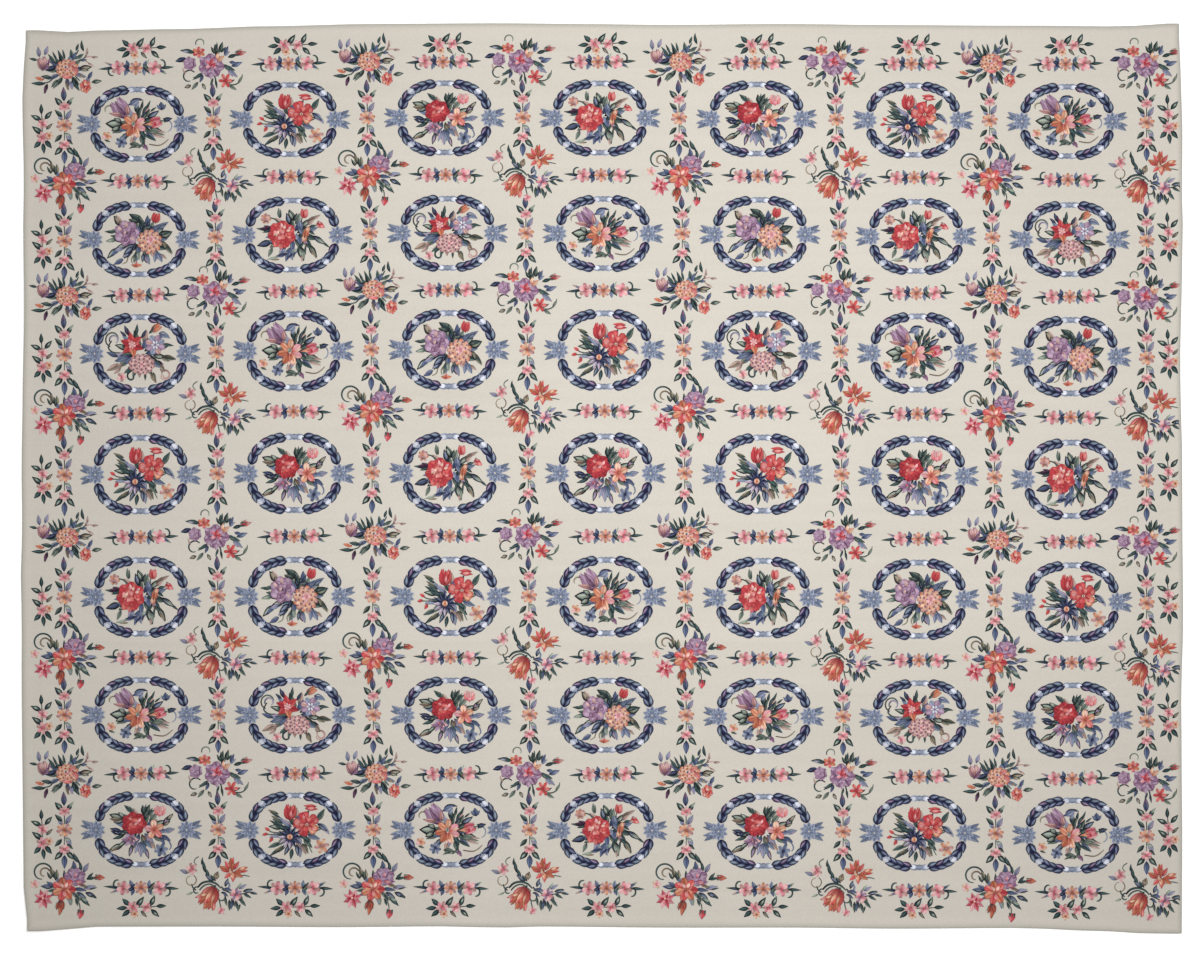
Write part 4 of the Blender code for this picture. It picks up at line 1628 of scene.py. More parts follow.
    @staticmethod
    def rose() -> Chart:
        """Big orange-red rose, dusty ball, blue iris and a coral cluster."""
        c = Chart()
        c.greens(74)
        c.stem(Tone.BLACK, 3.8, (-72, 54), (-56, 50), (-44, 40), (-34, 30))
        c.stem(Tone.NAVY, 4.0, (16, 8), (30, 6), (44, 10))
        c.stem(Tone.BLACK, 3.6, (26, 30), (28, 46), (33, 60))
        c.ring((Tone.DUSTY, Tone.APRICOT), -82, 51, 1, 16, 7, 12, 90)
        c.dots(Tone.DUSTY, 22, (-82, 51))
        c.dots(Tone.APRICOT, 9, (-84, 54))
        c.leaves(Tone.SAGE, (-41, 68, 32, 12, 96), (-68, -53, 32, 13, 246))
        c.leaves(Tone.PINE, (-36, 66, 28, 6, 92), (-3, 62, 38, 20, 112), (10, 56, 26, 13, 70))
        c.leaves(Tone.EDGED_SAGE, (-5, 61, 32, 15, 116), (64, -50, 46, 19, 302), (29, -57, 48, 24, 286))
        c.leaves(
            Tone.BLACK, (-91, 18, 42, 10, 174),
            (-78, 12, 30, 10, 196), (20, -40, 26, 8, 240), (50, -34, 26, 9, 320),
        )
        c.leaves(Tone.PLUM, (-84, 20, 32, 13, 178), (-76, 25, 26, 10, 160))
        c.leaves(Tone.EDGED_BLUE, (-86, -27, 48, 22, 196), (-70, -22, 28, 13, 170), (84, -16, 50, 17, 326))
        c.leaves(Tone.SLATE, (-84, -26, 36, 12, 196), (21, -15, 30, 15, 290), (24, 26, 30, 22, 60))
        c.leaves(
            Tone.BLACK, (104, -30, 30, 8, 322), (58, -8, 24, 8, 330),
            (52, -24, 30, 9, 300), (40, -46, 30, 7, 268, 30),
        )
        c.leaves(Tone.CELADON, (88, -18, 28, 9, 326), (34, -60, 30, 12, 282), (-62, -72, 32, 9, 190))
        c.leaves(Tone.BROWN, (62, 50, 38, 14, 34), (66, -58, 34, 8, 300), (-52, -76, 26, 6, 184))
        c.leaves(Tone.TAUPE, (74, 56, 30, 10, 26), (58, 40, 26, 11, 40), (30, -72, 22, 9, 274))
        c.leaves(Tone.PERIWINKLE, (22, 34, 24, 16, 96), (14, -6, 22, 12, 280), (26, 12, 26, 12, 300))
        c.leaves(Tone.BLACK, (64, 28, 24, 9, 10), (30, -30, 24, 8, 250), (60, 8, 24, 9, 326))
        c.leaves(
            Tone.SLATE, (-34, -62, 34, 14, 200),
            (-12, -54, 34, 20, 70), (2, -56, 32, 15, 20), (-16, -70, 26, 12, 250),
        )
        c.leaves(Tone.PERIWINKLE, (-20, -58, 32, 15, 150), (-4, -64, 30, 13, 290), (2, -50, 22, 13, 60))
        c.leaves(Tone.NAVY, (-30, -60, 40, 7, 190), (-8, -66, 26, 8, 225), (6, -60, 22, 6, 260))
        c.leaves(Tone.CELADON, (8, -48, 18, 9, 40), (-56, -70, 30, 8, 198))
        c.tulip((Tone.CORAL, Tone.SALMON), 37, 67, 30, 26, 88)
        c.leaves(Tone.CLARET, (34, 66, 22, 6, 96))
        c.bud(Tone.SCARLET, Tone.DUSTY, 88, 30, 28, 19, 330)
        c.leaves(Tone.SALMON, (92, 27, 16, 7, 330))
        c.leaves(Tone.APRICOT, (42, 6, 42, 19, 78), (38, -8, 28, 14, 100), (48, 14, 26, 12, 60))
        c.leaves(Tone.RUST, (40, 4, 34, 7, 80), (48, 2, 26, 6, 70))
        c.leaves(Tone.PEACH, (34, -12, 20, 9, 100), (46, 18, 18, 8, 66))
        c.rose((Tone.SCARLET, Tone.CORAL, Tone.CORAL), -32, 2, 88, 86, 84, 7)
        c.ring((Tone.CLARET,), -36, 2, 12, 34, 7, 6, 70, 0.95, Cut.BLADE, 50.0)
        c.ring((Tone.SALMON, Tone.CORAL), -40, 3, 3, 20, 6, 12, 40, 0.9, Cut.FAN)
        c.leaves(
            Tone.CREAM, (-50, 2, 18, 10, 200),
            (-44, 8, 14, 8, 60), (-24, 24, 15, 9, 70), (-12, 14, 15, 9, 20),
        )
        c.leaves(Tone.CANDY, (-32, 30, 18, 8, 110), (-8, 22, 14, 8, 40))
        c.leaves(
            Tone.CLARET, (-34, -16, 30, 6, 186),
            (-22, 8, 24, 6, 70), (-56, -8, 22, 6, 240), (-28, -34, 24, 4, 262),
        )
        c.leaves(Tone.CORAL, (-36, -34, 22, 14, 268), (-52, -30, 20, 12, 240))
        return c

    @staticmethod
    def peony() -> Chart:
        """Lilac peony with a dotted peach mum and dark veined leaves."""
        c = Chart()
        c.greens(97)
        c.greens(60, 6, -4)
        c.stem(Tone.OLIVE, 3.6, (-20, -38), (-34, -54), (-38, -68), (-52, -76))
        c.stem(Tone.OLIVE, 3.4, (-10, -40), (-24, -60), (-20, -74))
        c.stem(Tone.NAVY, 4.0, (10, 34), (24, 44), (40, 40))
        c.leaves(Tone.EDGED_BROWN, (-66, 58, 40, 22, 128), (-56, 46, 28, 14, 120), (84, 17, 40, 26, 22))
        c.leaves(
            Tone.PINE, (-9, 67, 50, 24, 150),
            (6, 58, 34, 15, 120), (-18, 58, 32, 14, 160), (78, 22, 30, 14, 10),
        )
        c.leaves(
            Tone.BLACK, (-12, 70, 42, 8, 150),
            (-90, 24, 34, 10, 176), (88, 20, 34, 7, 20), (10, 48, 26, 9, 100),
        )
        c.leaves(Tone.TEAL, (-80, 26, 28, 12, 186), (-85, -2, 36, 13, 190), (-76, 10, 26, 11, 170))
        c.leaves(Tone.CELADON, (-88, -4, 28, 9, 190), (-2, -49, 28, 12, 280))
        c.leaves(Tone.EDGED_SAGE, (-83, -42, 46, 18, 226), (-66, -30, 30, 14, 200), (85, -23, 46, 17, 318))
        c.leaves(Tone.SLATE, (-74, -38, 38, 14, 222), (26, 58, 34, 17, 90), (-64, -70, 32, 14, 206))
        c.leaves(Tone.LILAC_LEAF, (-62, -30, 30, 14, 200), (26, -61, 34, 16, 292))
        c.leaves(
            Tone.NAVY, (30, 52, 30, 9, 66), (-30, -46, 26, 8, 230),
            (38, 36, 22, 8, 30), (-24, -28, 30, 8, 200),
        )
        c.leaves(Tone.MIST, (71, 43, 46, 17, 30), (60, 34, 30, 14, 46), (-30, -30, 42, 20, 216))
        c.leaves(Tone.EDGED_BLUE, (-32, -34, 40, 17, 220), (70, 40, 34, 9, 32), (12, -56, 28, 12, 262))
        c.leaves(Tone.OLIVE, (84, -20, 42, 10, 316), (92, -34, 32, 9, 312), (76, -10, 24, 10, 330))
        c.leaves(Tone.BLACK, (92, -28, 36, 5, 314), (-12, -46, 22, 7, 250))
        c.leaves(Tone.PERIWINKLE, (64, -54, 34, 17, 296), (50, -56, 28, 13, 262), (-60, -64, 24, 11, 196))
        c.leaves(Tone.TAUPE, (-62, 64, 30, 10, 126), (76, -52, 24, 9, 320))
        c.leaves(Tone.TANGERINE, (-12, -80, 24, 12, 172), (-2, -80, 22, 11, 8))
        c.leaves(Tone.CORAL, (-8, -76, 16, 9, 90))
        c.tulip((Tone.SCARLET, Tone.CORAL), 52, 68, 32, 30, 80)
        c.leaves(Tone.CLARET, (50, 60, 22, 8, 100), (58, 66, 20, 6, 70))
        c.rose((Tone.LILAC, Tone.MAUVE, Tone.MAUVE), -38, 20, 78, 80, 104, 7)
        c.leaves(
            Tone.MULBERRY, (-40, 8, 30, 7, 200),
            (-26, 22, 30, 6, 80), (-54, 24, 26, 6, 120), (-38, 40, 24, 5, 30),
        )
        c.leaves(
            Tone.BLUSH, (-40, 46, 22, 10, 100),
            (-60, 34, 20, 9, 130), (-20, 4, 20, 9, 300), (-44, 22, 15, 8, 60),
        )
        c.leaves(Tone.MULBERRY, (-36, -12, 24, 7, 216), (-30, 14, 16, 8, 250))
        Bouquet.mum(c, 33, -6, 78, 78, Tone.MUM, Tone.MULBERRY)
        c.ring((Tone.CANDY,), 36, 0, 2, 14, 5, 9, 80)
        return c

    @staticmethod
    def mum(c: Chart, x: float, y: float, wide: float, tall: float, tone: Tone, spot: Tone) -> None:
        """A round mum with a scalloped rim and dots."""
        half = wide / 2
        squash = tall / wide
        pale = Tone.PEACH if tone is Tone.MUM else Tone.BLUSH
        dark = Tone.APRICOT if tone is Tone.MUM else Tone.DUSTY
        c.ring((dark, tone), x, y, half * 0.4, half, 12, half * 0.42, 80, squash)
        c.ring((pale, tone), x, y, half * 0.3, half * 0.86, 12, half * 0.38, 95, squash)
        c.ring((tone, dark), x, y, half * 0.12, half * 0.62, 9, half * 0.34, 70, squash)
        c.ring((pale, Tone.CANDY), x, y, half * 0.02, half * 0.34, 6, half * 0.26, 85, squash)
        for reach, count, turn in ((0.78, 12, 10), (0.50, 9, 28), (0.24, 4, 50)):
            places = []
            for step in range(count):
                angle = radians(turn + 360 * step / count)
                places.append((x + half * reach * cos(angle), y + half * reach * squash * sin(angle)))
            c.dots(spot, half * 0.13, *places)

    @staticmethod
    def crimson_lily() -> Chart:
        """Crimson lily, a pale lilac flower, a dusty dotted ball and curls."""
        c = Chart()
        c.greens(19)
        c.curl(Tone.PINE, -84, 42, 24, 250, -290, 4.6, 0.62)
        c.curl(Tone.LILAC_LEAF, -80, 40, 15, 200, -260, 5.0, 0.7)
        c.stem(Tone.BLACK, 4.6, (-88, 38), (-98, 18), (-84, 4), (-62, 3))
        c.curl(Tone.BLACK, -27, -66, 13, 120, 250, 5.4, 0.6)
        c.curl(Tone.DUSTY, 79, -62, 15, 150, -320, 5.4, 0.5)
        c.stem(Tone.TAUPE, 4.2, (62, -44), (68, -56), (66, -72), (82, -78))
        c.stem(Tone.MIST, 4.4, (58, 58), (70, 64), (84, 56), (92, 44))
        c.leaves(Tone.NAVY, (-42, 68, 32, 12, 112), (-52, 58, 26, 9, 140), (12, 58, 30, 10, 60))
        c.leaves(Tone.PLUM, (-36, 62, 26, 10, 100), (62, -26, 26, 9, 330))
        c.leaves(
            Tone.BLACK, (-10, 70, 34, 11, 84),
            (88, 26, 34, 9, 350), (76, 18, 26, 8, 20), (58, -28, 32, 9, 320),
        )
        c.leaves(Tone.SLATE, (-86, -2, 38, 14, 160), (-54, -14, 52, 19, 198), (64, 50, 28, 12, 20))
        c.leaves(Tone.MIST, (-52, -18, 44, 11, 198), (76, 52, 34, 12, 340))
        c.leaves(Tone.TAUPE, (-82, -40, 46, 18, 204), (-66, -36, 30, 13, 190), (-70, -50, 28, 12, 220))
        c.leaves(Tone.BROWN, (-84, -42, 38, 8, 206), (42, -71, 34, 14, 300), (70, -42, 26, 11, 300))
        c.leaves(Tone.OLIVE, (90, -12, 44, 17, 350), (78, -16, 28, 12, 330), (44, -66, 26, 10, 290))
        c.leaves(Tone.BLACK, (92, -14, 38, 6, 350), (-32, -50, 24, 8, 230), (16, -66, 24, 8, 270))
        c.leaves(Tone.TEAL, (-18, -58, 26, 12, 250), (-40, -50, 26, 10, 220))
        c.tulip((Tone.TANGERINE, Tone.APRICOT), 50, 75, 36, 24, 32)
        c.leaves(Tone.PINE, (36, 66, 22, 9, 40), (42, 76, 20, 6, 60))
        c.ring((Tone.CANDY, Tone.DUSTY), -57, -68, 1, 14, 5, 11, 60)
        c.dots(Tone.CERISE, 6, (-57, -67))
        c.ring((Tone.LILAC, Tone.HAZE, Tone.BLUSH), 47, 26, 2, 31, 8, 17, 70, 0.95)
        c.ring((Tone.MAUVE,), 47, 26, 5, 26, 8, 4.6, 92, 0.95, Cut.STEM)
        c.ring((Tone.PEARL,), 47, 26, 2, 13, 6, 6, 60)
        c.dots(Tone.MULBERRY, 6, (47, 26))
        Bouquet.mum(c, 5, -31, 82, 62, Tone.DUSTY_MUM, Tone.MULBERRY)
        petals = (Tone.SCARLET, Tone.CLARET, Tone.SCARLET, Tone.TANGERINE, Tone.CLARET, Tone.SCARLET)
        c.ring(petals, -24, 26, 4, 37, 6, 21, 100, 1.0, Cut.BUD)
        c.ring((Tone.CORAL, Tone.CLARET), -24, 26, 3, 24, 6, 8, 130, 1.0, Cut.BLADE)
        c.ring((Tone.CANDY,), -24, 26, 1, 12, 6, 6, 100)
        c.dots(Tone.CREAM, 6, (-24, 26))
        return c


class Posy:
    """A spray of flowers where the sprays cross. Each kind has a method that draws it."""

    @staticmethod
    def mum() -> Chart:
        """Dotted peach mum with a mauve tulip, black combs and a small rose."""
        c = Chart()
        c.ring((Tone.SLATE, Tone.SAGE, Tone.MIST, Tone.PINE), 2, 0, 26, 66, 11, 14, 12, 0.8, Cut.LEAF, 14)
        c.stem(Tone.BLACK, 4.6, (20, 36), (32, 52), (40, 66))
        c.stem(Tone.BLACK, 3.6, (42, 32), (55, 39), (66, 50))
        c.stem(Tone.DUSTY, 3.4, (58, 41), (72, 45), (90, 44))
        c.stem(Tone.DUSTY, 3.4, (58, 38), (66, 28), (78, 22))
        c.stem(Tone.DUSTY, 3.4, (60, 44), (64, 56), (66, 68))
        c.stem(Tone.BLACK, 4.0, (-34, -14), (-50, -32), (-70, -36))
        c.stem(Tone.BROWN, 4.4, (3, -30), (5, -44), (10, -58))
        c.stem(Tone.BLACK, 4.0, (30, -16), (44, -30))
        c.leaves(Tone.BLACK, (50, 78, 36, 10, 100, -40), (36, 74, 24, 9, 70), (-101, 37, 26, 9, 168))
        c.leaves(Tone.TAUPE, (91, 43, 20, 9, 4), (78, 20, 20, 8, 330), (67, 62, 22, 8, 90))
        c.leaves(Tone.LILAC_LEAF, (-84, 60, 32, 14, 98), (-60, 64, 30, 13, 70), (70, -24, 26, 13, 68))
        c.leaves(Tone.TEAL, (18, 53, 30, 13, 100), (45, 46, 26, 12, 34), (34, 42, 22, 11, 20))
        c.leaves(Tone.SLATE, (26, 46, 28, 12, 70), (56, 34, 20, 9, 10), (76, -12, 26, 12, 60))
        c.leaves(
            Tone.BLACK, (-44, 40, 36, 9, 130), (-34, 46, 34, 8, 116),
            (-26, 32, 30, 10, 130), (-38, 30, 30, 8, 150),
        )
        c.leaves(Tone.BLACK, (-18, 50, 34, 9, 112), (-6, 52, 32, 8, 104), (-12, 40, 28, 11, 108))
        c.leaves(Tone.EDGED_BROWN, (62, 11, 40, 17, 6), (58, 4, 28, 10, 350))
        c.leaves(Tone.EDGED_BLUE, (-48, 8, 38, 17, 190), (-60, -18, 34, 13, 172))
        c.leaves(Tone.NAVY, (-44, 10, 30, 13, 200))
        c.leaves(
            Tone.BLACK, (-85, -38, 44, 12, 178),
            (30, -40, 44, 17, 298), (34, -46, 34, 9, 302), (26, -34, 26, 10, 280),
        )
        c.leaves(Tone.TEAL, (-58, -18, 28, 11, 176), (-34, -38, 32, 13, 228))
        c.leaves(Tone.PLUM, (-62, -54, 32, 12, 252), (-62, -58, 24, 8, 260))
        c.leaves(Tone.SAGE, (-30, -42, 30, 11, 232), (96, -32, 32, 14, 8))
        c.leaves(Tone.EDGED_SAGE, (98, -32, 26, 9, 10))
        c.leaves(Tone.LILAC_LEAF, (18, -44, 26, 13, 280))
        c.leaves(Tone.BROWN, (50, -16, 22, 8, 330), (4, -44, 28, 9, 280))
        c.leaves(Tone.TANGERINE, (-84, -22, 22, 12, 166), (-74, -26, 16, 8, 200))
        c.tulip((Tone.DUSTY, Tone.MAUVE), -70, 24, 42, 38, 110)
        c.leaves(Tone.MULBERRY, (-58, 20, 36, 7, 46), (-62, 8, 30, 6, 28), (-52, 30, 26, 6, 80))
        c.leaves(Tone.BLUSH, (-76, 30, 26, 14, 110), (-66, 32, 24, 10, 90))
        c.rose((Tone.CORAL, Tone.TANGERINE, Tone.SALMON), 61, -47, 36, 42, 100, 6)
        c.leaves(Tone.CLARET, (56, -44, 22, 6, 110), (68, -50, 20, 6, 60))
        c.leaves(Tone.CREAM, (60, -40, 13, 6, 60), (52, -58, 11, 6, 90))
        Bouquet.mum(c, 5, 7, 72, 62, Tone.MUM, Tone.RUST)
        c.leaves(Tone.SALMON, (30, 2, 30, 14, 300), (4, -18, 30, 12, 180), (20, 22, 26, 10, 20))
        c.dots(Tone.CREAM, 15, (0, 13))
        c.dots(Tone.SLATE, 7, (0, 13))
        return c

    @staticmethod
    def peony() -> Chart:
        """Mauve peony with a crimson heart, a mauve ball, scrolls and red stars."""
        c = Chart()
        c.stem(Tone.BLACK, 4.6, (2, -30), (8, -46), (7, -62))
        c.curl(Tone.BLACK, -74, -38, 22, 40, 250, 4.6, 0.6)
        c.curl(Tone.PINE, 62, -30, 34, 250, 110, 4.4, 0.85)
        c.curl(Tone.SAGE, -40, 66, 14, 200, -230, 4.0, 0.8)
        c.stem(Tone.PINE, 3.8, (-30, -24), (-46, -36), (-62, -40))
        c.stem(Tone.SLATE, 3.4, (40, -58), (54, -68), (62, -72))
        c.leaves(Tone.NAVY, (-101, 14, 32, 16, 196), (-92, 18, 22, 11, 170))
        c.leaves(Tone.BLACK, (-80, 42, 44, 14, 172, 20), (-68, 38, 26, 10, 190))
        c.leaves(Tone.LILAC_LEAF, (-84, 40, 22, 6, 172))
        c.leaves(
            Tone.PINE, (9, 47, 34, 15, 100), (25, 54, 34, 14, 74), (14, 36, 26, 12, 60), (0, 44, 26, 10, 120),
        )
        c.leaves(
            Tone.BLACK, (12, 58, 22, 7, 88), (32, 46, 24, 8, 50), (61, 27, 32, 12, 16), (70, 30, 22, 8, 30),
        )
        c.leaves(
            Tone.SLATE, (41, 44, 30, 12, 66), (74, 1, 36, 15, 20),
            (62, 6, 24, 11, 350), (-36, -44, 26, 11, 246),
        )
        c.leaves(Tone.PERIWINKLE, (78, 2, 24, 9, 22), (44, 34, 22, 9, 40))
        c.leaves(Tone.TEAL, (51, -12, 38, 15, 340), (44, -8, 26, 11, 320))
        c.leaves(Tone.LILAC_LEAF, (62, -28, 36, 14, 322), (54, -26, 26, 11, 300))
        c.leaves(
            Tone.BLACK, (-46, -36, 42, 11, 214),
            (10, -60, 30, 8, 280), (-4, -54, 26, 8, 250), (54, -54, 30, 7, 210),
        )
        c.leaves(Tone.SAGE, (-56, -66, 32, 12, 230), (62, -72, 26, 11, 330), (84, -46, 26, 8, 60))
        c.leaves(Tone.EDGED_BROWN, (-78, -68, 22, 13, 200), (-28, -68, 22, 11, 300))
        c.leaves(Tone.TAUPE, (78, 42, 26, 8, 30), (-90, -20, 22, 7, 110))
        c.bud(Tone.SCARLET, Tone.PINE, 88, 36, 30, 16, 10)
        c.leaves(Tone.DUSTY, (94, 38, 20, 9, 10))
        c.ring((Tone.CORAL, Tone.TANGERINE, Tone.SCARLET), -44, 38, 2, 20, 6, 12, 90, 0.85)
        c.dots(Tone.RUST, 8, (-43, 37))
        c.leaves(Tone.SALMON, (-38, 44, 14, 7, 60), (-52, 36, 12, 6, 190))
        c.rose((Tone.MAUVE, Tone.LILAC, Tone.LILAC), -72, 3, 42, 44, 100, 6)
        c.leaves(Tone.MULBERRY, (-66, -8, 26, 6, 200), (-60, 6, 22, 5, 90))
        c.ring((Tone.SCARLET, Tone.CORAL), 39, -50, 2, 21, 6, 11, 60, 1.1)
        c.dots(Tone.CLARET, 8, (39, -50))
        c.rose((Tone.MAUVE, Tone.LILAC, Tone.PINK), -5, -3, 80, 74, 96, 7)
        c.leaves(
            Tone.MULBERRY, (-18, -18, 34, 8, 216),
            (10, -26, 28, 8, 300), (-30, 6, 28, 7, 120), (16, -6, 24, 6, 340),
        )
        c.leaves(Tone.CERISE, (-4, 10, 24, 12, 60), (-14, 6, 22, 10, 150), (2, -4, 22, 10, 250))
        c.leaves(Tone.CLARET, (-8, 4, 20, 6, 80), (0, 0, 16, 5, 20))
        c.leaves(Tone.PEACH, (24, 18, 28, 14, 40), (14, 26, 22, 11, 80))
        c.leaves(Tone.LILAC, (-28, -22, 22, 13, 230), (-6, -34, 24, 14, 270), (-34, 18, 22, 12, 150))
        return c

    @staticmethod
    def lily() -> Chart:
        """Orange lily with a tail, a mauve peony, a dark scroll and a pink flower."""
        c = Chart()
        c.ring((Tone.SAGE, Tone.SLATE, Tone.PINE, Tone.MIST), 4, 6, 20, 62, 10, 13, 28, 0.9, Cut.LEAF, -14)
        c.curl(Tone.BLACK, -73, 53, 33, 330, 300, 5.4, 0.62)
        c.curl(Tone.BROWN, -66, 52, 17, 20, 250, 5.4, 0.6)
        c.stem(Tone.BLACK, 6.0, (48, 60), (42, 82), (34, 96), (24, 106))
        c.stem(Tone.BLACK, 3.8, (64, 34), (82, 38), (98, 38))
        c.stem(Tone.PINE, 3.8, (28, -28), (42, -44), (44, -64))
        c.leaves(
            Tone.BLACK, (30, 98, 34, 13, 118, -24),
            (46, 70, 26, 11, 90), (75, 42, 30, 10, 50), (80, 34, 26, 8, 10),
        )
        c.leaves(Tone.SLATE, (26, 74, 34, 14, 100), (-59, 10, 38, 16, 176), (-48, 18, 28, 12, 150))
        c.leaves(Tone.LILAC_LEAF, (62, 68, 34, 15, 60), (75, 8, 38, 14, 10), (48, -16, 34, 13, 330))
        c.leaves(Tone.OLIVE, (-43, 54, 34, 13, 110), (-28, 48, 30, 13, 90))
        c.leaves(Tone.PINE, (-34, 44, 32, 9, 100), (-52, 44, 26, 9, 120), (20, 62, 24, 9, 100))
        c.leaves(Tone.EDGED_BLUE, (78, -16, 38, 15, 336), (50, -18, 32, 11, 326), (-56, 8, 30, 9, 176))
        c.leaves(
            Tone.BLACK, (60, -37, 40, 13, 318),
            (84, 4, 28, 6, 12), (86, -22, 22, 6, 330), (34, -40, 22, 8, 290),
        )
        c.leaves(Tone.CELADON, (16, -34, 28, 11, 280), (58, -30, 28, 9, 330), (-28, -46, 22, 8, 240))
        c.leaves(Tone.TEAL, (36, -26, 26, 10, 300), (-44, -2, 26, 11, 190))
        c.bud(Tone.SCARLET, Tone.OLIVE, 106, 38, 30, 18, 356)
        c.leaves(Tone.TANGERINE, (110, 38, 20, 9, 356))
        c.bud(Tone.CERISE, Tone.PINE, 45, -76, 28, 22, 262)
        c.leaves(Tone.SCARLET, (47, -78, 18, 8, 262))
        c.ring((Tone.CANDY, Tone.PEACH), -96, 18, 1, 13, 5, 10, 80)
        c.dots(Tone.PINK, 6, (-96, 18))
        c.ring(
            (Tone.CERISE, Tone.PINK, Tone.CERISE, Tone.CANDY), -69, -28, 3, 30, 8, 15, 110, 1.05, Cut.BLADE,
        )
        c.ring((Tone.CLARET, Tone.PINK), -69, -27, 2, 15, 6, 8, 60)
        c.dots(Tone.CREAM, 6, (-70, -26))
        c.rose((Tone.MAUVE, Tone.LILAC, Tone.LILAC), 28, 40, 68, 56, 70, 7)
        c.leaves(
            Tone.MULBERRY, (30, 28, 30, 7, 190),
            (40, 46, 26, 6, 60), (14, 44, 24, 6, 120), (52, 22, 26, 8, 20),
        )
        c.leaves(Tone.PINK, (40, 24, 22, 10, 350), (52, 14, 24, 10, 350), (30, 46, 16, 8, 80))
        c.leaves(Tone.BROWN, (56, 12, 26, 9, 340))
        c.leaves(Tone.RUST, (-15, -56, 44, 17, 262), (-24, -48, 30, 12, 250), (-8, -46, 28, 11, 280))
        c.leaves(Tone.TANGERINE, (-18, -64, 30, 10, 262))
        petals = (
            Tone.TANGERINE, Tone.CORAL, Tone.APRICOT, Tone.CORAL, Tone.TANGERINE, Tone.SCARLET, Tone.CORAL,
        )
        c.ring(petals, -6, 2, 3, 37, 7, 23, 100, 1.0, Cut.PETAL)
        c.ring((Tone.CORAL, Tone.SALMON, Tone.APRICOT), -6, 2, 3, 26, 7, 12, 74, 1.0, Cut.BLADE)
        c.leaves(Tone.SCARLET, (-14, -14, 24, 8, 240), (6, -12, 24, 7, 300), (-22, 8, 22, 6, 170))
        c.leaves(Tone.CREAM, (2, 14, 20, 10, 60), (-10, 12, 16, 8, 110))
        c.dots(Tone.RUST, 8, (-4, 2))
        return c

    @staticmethod
    def scroll() -> Chart:
        """Red tulip and iris on a dark scroll, with pink stars and curls."""
        c = Chart()
        c.curl(Tone.BROWN, -86, 19, 17, 60, -330, 3.6, 0.8)
        c.stem(Tone.SAGE, 3.6, (-62, 92), (-74, 84), (-76, 74), (-68, 66))
        c.stem(Tone.BLACK, 7.0, (-66, -4), (-52, 10), (-30, 15), (-8, 8), (6, -6))
        c.stem(Tone.PINE, 5.0, (-60, -12), (-46, 2), (-24, 6), (2, -14))
        c.stem(Tone.BLACK, 4.4, (-70, -12), (-80, -4), (-84, 8))
        c.curl(Tone.BLACK, -68, -13, 12, 80, 230, 4.6, 0.6)
        c.curl(Tone.PINE, 7, -34, 15, 90, -220, 4.8, 0.6)
        c.curl(Tone.EDGED_BLUE, 21, 4, 14, 200, 250, 6.0, 0.8)
        c.stem(Tone.BLACK, 3.8, (10, -10), (34, -20), (56, -36), (76, -54))
        c.stem(Tone.BLACK, 3.4, (44, -24), (70, -24), (96, -18))
        c.stem(Tone.BLACK, 3.2, (56, 32), (76, 34), (96, 30))
        c.stem(Tone.PINE, 3.6, (0, -36), (4, -56), (7, -68))
        c.leaves(
            Tone.BLACK, (-46, 62, 38, 11, 100),
            (-36, 42, 34, 11, 112), (-52, 78, 24, 7, 84), (-18, 26, 26, 10, 130),
        )
        c.leaves(Tone.EDGED_BLUE, (-30, 26, 34, 12, 140), (24, 12, 28, 12, 70), (90, -13, 32, 12, 10))
        c.leaves(Tone.LILAC_LEAF, (-107, 46, 30, 13, 160), (74, -1, 28, 11, 30), (108, -21, 24, 9, 350))
        c.leaves(Tone.BROWN, (-7, 34, 26, 18, 70), (-10, 30, 20, 9, 120))
        c.leaves(
            Tone.BLACK, (106, -22, 26, 7, 345),
            (88, -29, 30, 9, 330), (56, -60, 34, 10, 286), (90, -10, 26, 6, 12),
        )
        c.leaves(Tone.TEAL, (74, -50, 30, 11, 310), (33, -58, 34, 12, 270), (68, -34, 26, 10, 300))
        c.leaves(
            Tone.PINE, (21, -45, 30, 9, 280),
            (44, -50, 28, 10, 290), (-20, -2, 26, 9, 200), (62, -66, 24, 8, 250),
        )
        c.leaves(Tone.SLATE, (40, -58, 28, 9, 262), (30, -10, 26, 11, 340), (20, -24, 24, 9, 320))
        c.leaves(Tone.CELADON, (-90, -22, 22, 8, 200), (64, 2, 22, 8, 50))
        c.ring((Tone.DUSTY, Tone.CANDY), -84, 54, 2, 17, 6, 11, 100, 1.1)
        c.leaves(Tone.CERISE, (-84, 52, 20, 6, 250), (-80, 60, 16, 5, 60))
        c.ring((Tone.MAUVE, Tone.CANDY, Tone.PINK), 53, -25, 2, 19, 7, 10, 80, 1.1)
        c.dots(Tone.MULBERRY, 7, (53, -25))
        c.ring((Tone.PINK, Tone.CANDY), 7, -75, 1, 12, 5, 9, 90)
        c.leaves(
            Tone.TANGERINE, (39, 70, 38, 20, 96),
            (72, 52, 38, 18, 24), (17, 54, 36, 18, 152), (60, 36, 34, 16, 330),
        )
        c.leaves(
            Tone.CORAL, (26, 66, 30, 13, 120),
            (54, 64, 32, 14, 56), (28, 34, 28, 14, 220), (44, 28, 30, 15, 268),
        )
        c.leaves(
            Tone.RUST, (40, 56, 36, 8, 94), (56, 48, 30, 7, 30), (30, 50, 28, 7, 150), (48, 36, 26, 6, 300),
        )
        c.leaves(Tone.PEACH, (42, 34, 24, 13, 280), (36, 44, 20, 9, 110), (72, 56, 20, 8, 20))
        c.leaves(Tone.SCARLET, (78, 46, 26, 8, 10), (18, 48, 22, 8, 170), (44, 80, 22, 7, 84))
        c.tulip((Tone.CORAL, Tone.TANGERINE), -30, -34, 72, 60, 236)
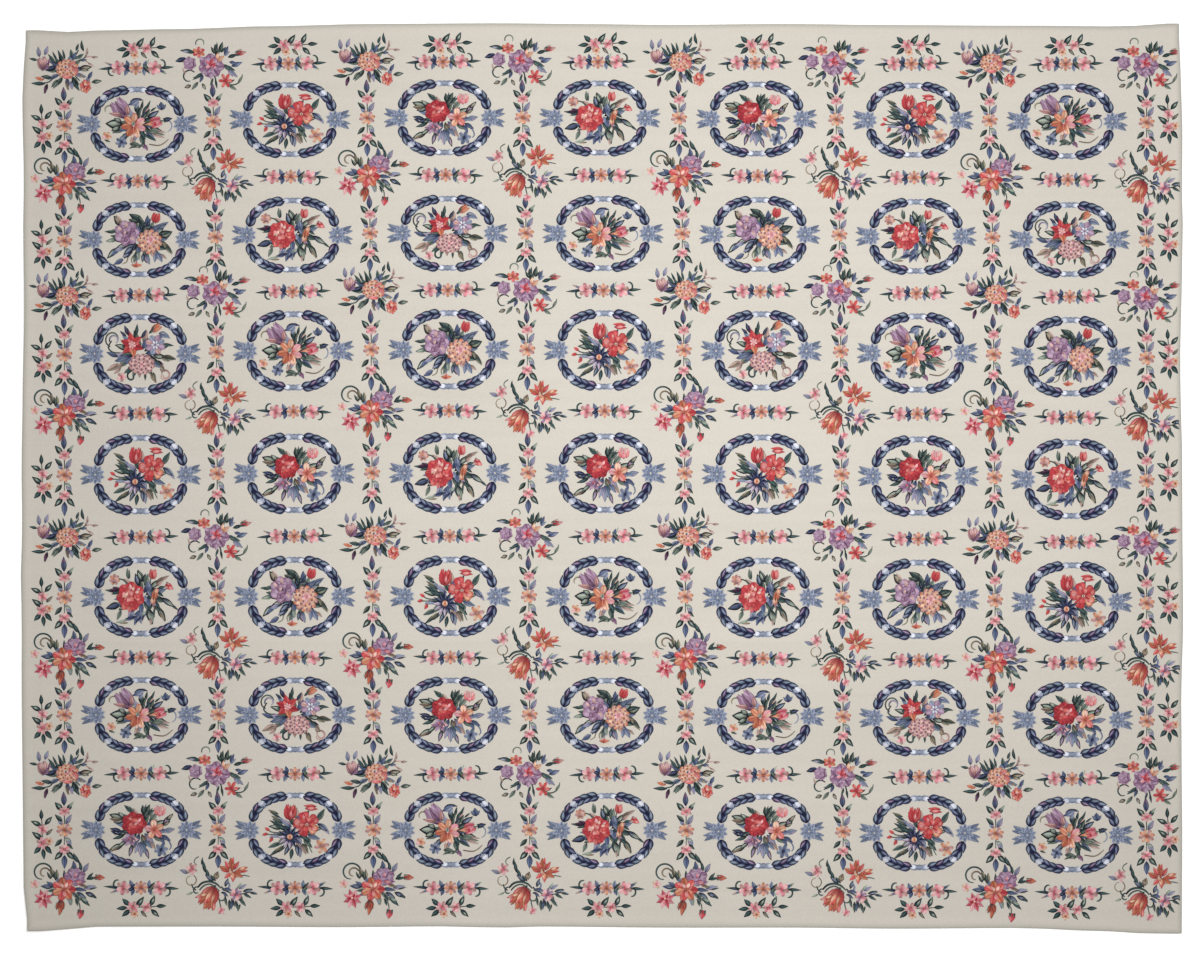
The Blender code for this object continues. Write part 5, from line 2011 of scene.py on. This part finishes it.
        c.leaves(Tone.TANGERINE, (-52, -28, 44, 15, 196), (-18, -54, 44, 15, 266), (-40, -58, 30, 13, 240))
        c.leaves(
            Tone.RUST, (-38, -34, 46, 8, 226), (-26, -44, 42, 7, 246),
            (-46, -40, 34, 6, 212), (-22, -22, 26, 8, 230),
        )
        c.leaves(Tone.PEACH, (-32, -30, 34, 12, 232), (-18, -36, 30, 9, 252), (-46, -26, 24, 8, 200))
        c.leaves(Tone.SALMON, (-14, -62, 26, 9, 268), (-62, -32, 22, 8, 196))
        return c


def motifs(lattice: Lattice) -> list[tuple[str, Chart, list[Spot]]]:
    """Every kind of motif, with its chart and where it is laid."""
    plain = [
        (Wreath(), lattice.wreaths()),
        (WreathKnots(), lattice.wreaths()),
        (DownSpray(), lattice.down_sprays()),
        (AcrossSpray(), lattice.across_sprays()),
        (EdgeSpray(), lattice.edge_sprays()),
    ]
    listed = [(motif.name, motif.chart(), spots) for motif, spots in plain]
    bouquets = {
        "A": ("bouquets_lily", Bouquet.lily),
        "B": ("bouquets_daisy", Bouquet.daisy),
        "C": ("bouquets_rose_and_star", Bouquet.rose_and_star),
        "D": ("bouquets_rose", Bouquet.rose),
        "E": ("bouquets_peony", Bouquet.peony),
        "F": ("bouquets_crimson_lily", Bouquet.crimson_lily),
    }
    for kind, (name, draw) in bouquets.items():
        listed.append((name, draw(), lattice.wreaths(kind)))
    posies = (
        ("posies_mum", Posy.mum, False, False),
        ("posies_peony", Posy.peony, False, True),
        ("posies_lily", Posy.lily, True, False),
        ("posies_scroll", Posy.scroll, True, True),
    )
    for name, draw, odd_row, odd_column in posies:
        listed.append((name, draw(), lattice.posies(odd_row, odd_column)))
    return listed


def dress(piece: bpy.types.Object, material: bpy.types.Material) -> None:
    """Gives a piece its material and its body."""
    piece.data.materials.append(material)
    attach(piece, BODY)
    LOG.info("%s: %d faces", piece.name, len(piece.data.polygons))


def main() -> None:
    logging.basicConfig(level=logging.INFO, format="%(message)s")
    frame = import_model()
    LOG.info("nodes of the packed model: %s", ", ".join(frame["nodes"]))
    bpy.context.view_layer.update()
    ground = GroundCloth()
    cloth = ground.build()
    dress(cloth, GroundWool("ivory_needlework", shade_swing=0.07).make())
    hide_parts(CAD_NODE)
    lattice = Lattice()
    dyed = MotifWool("dyed_needlework").make()
    for name, chart, spots in motifs(lattice):
        piece = Needlework(name, chart, spots).build(ground)
        dress(piece, dyed)
    Studio().build()


if __name__ == "__main__":
    main()
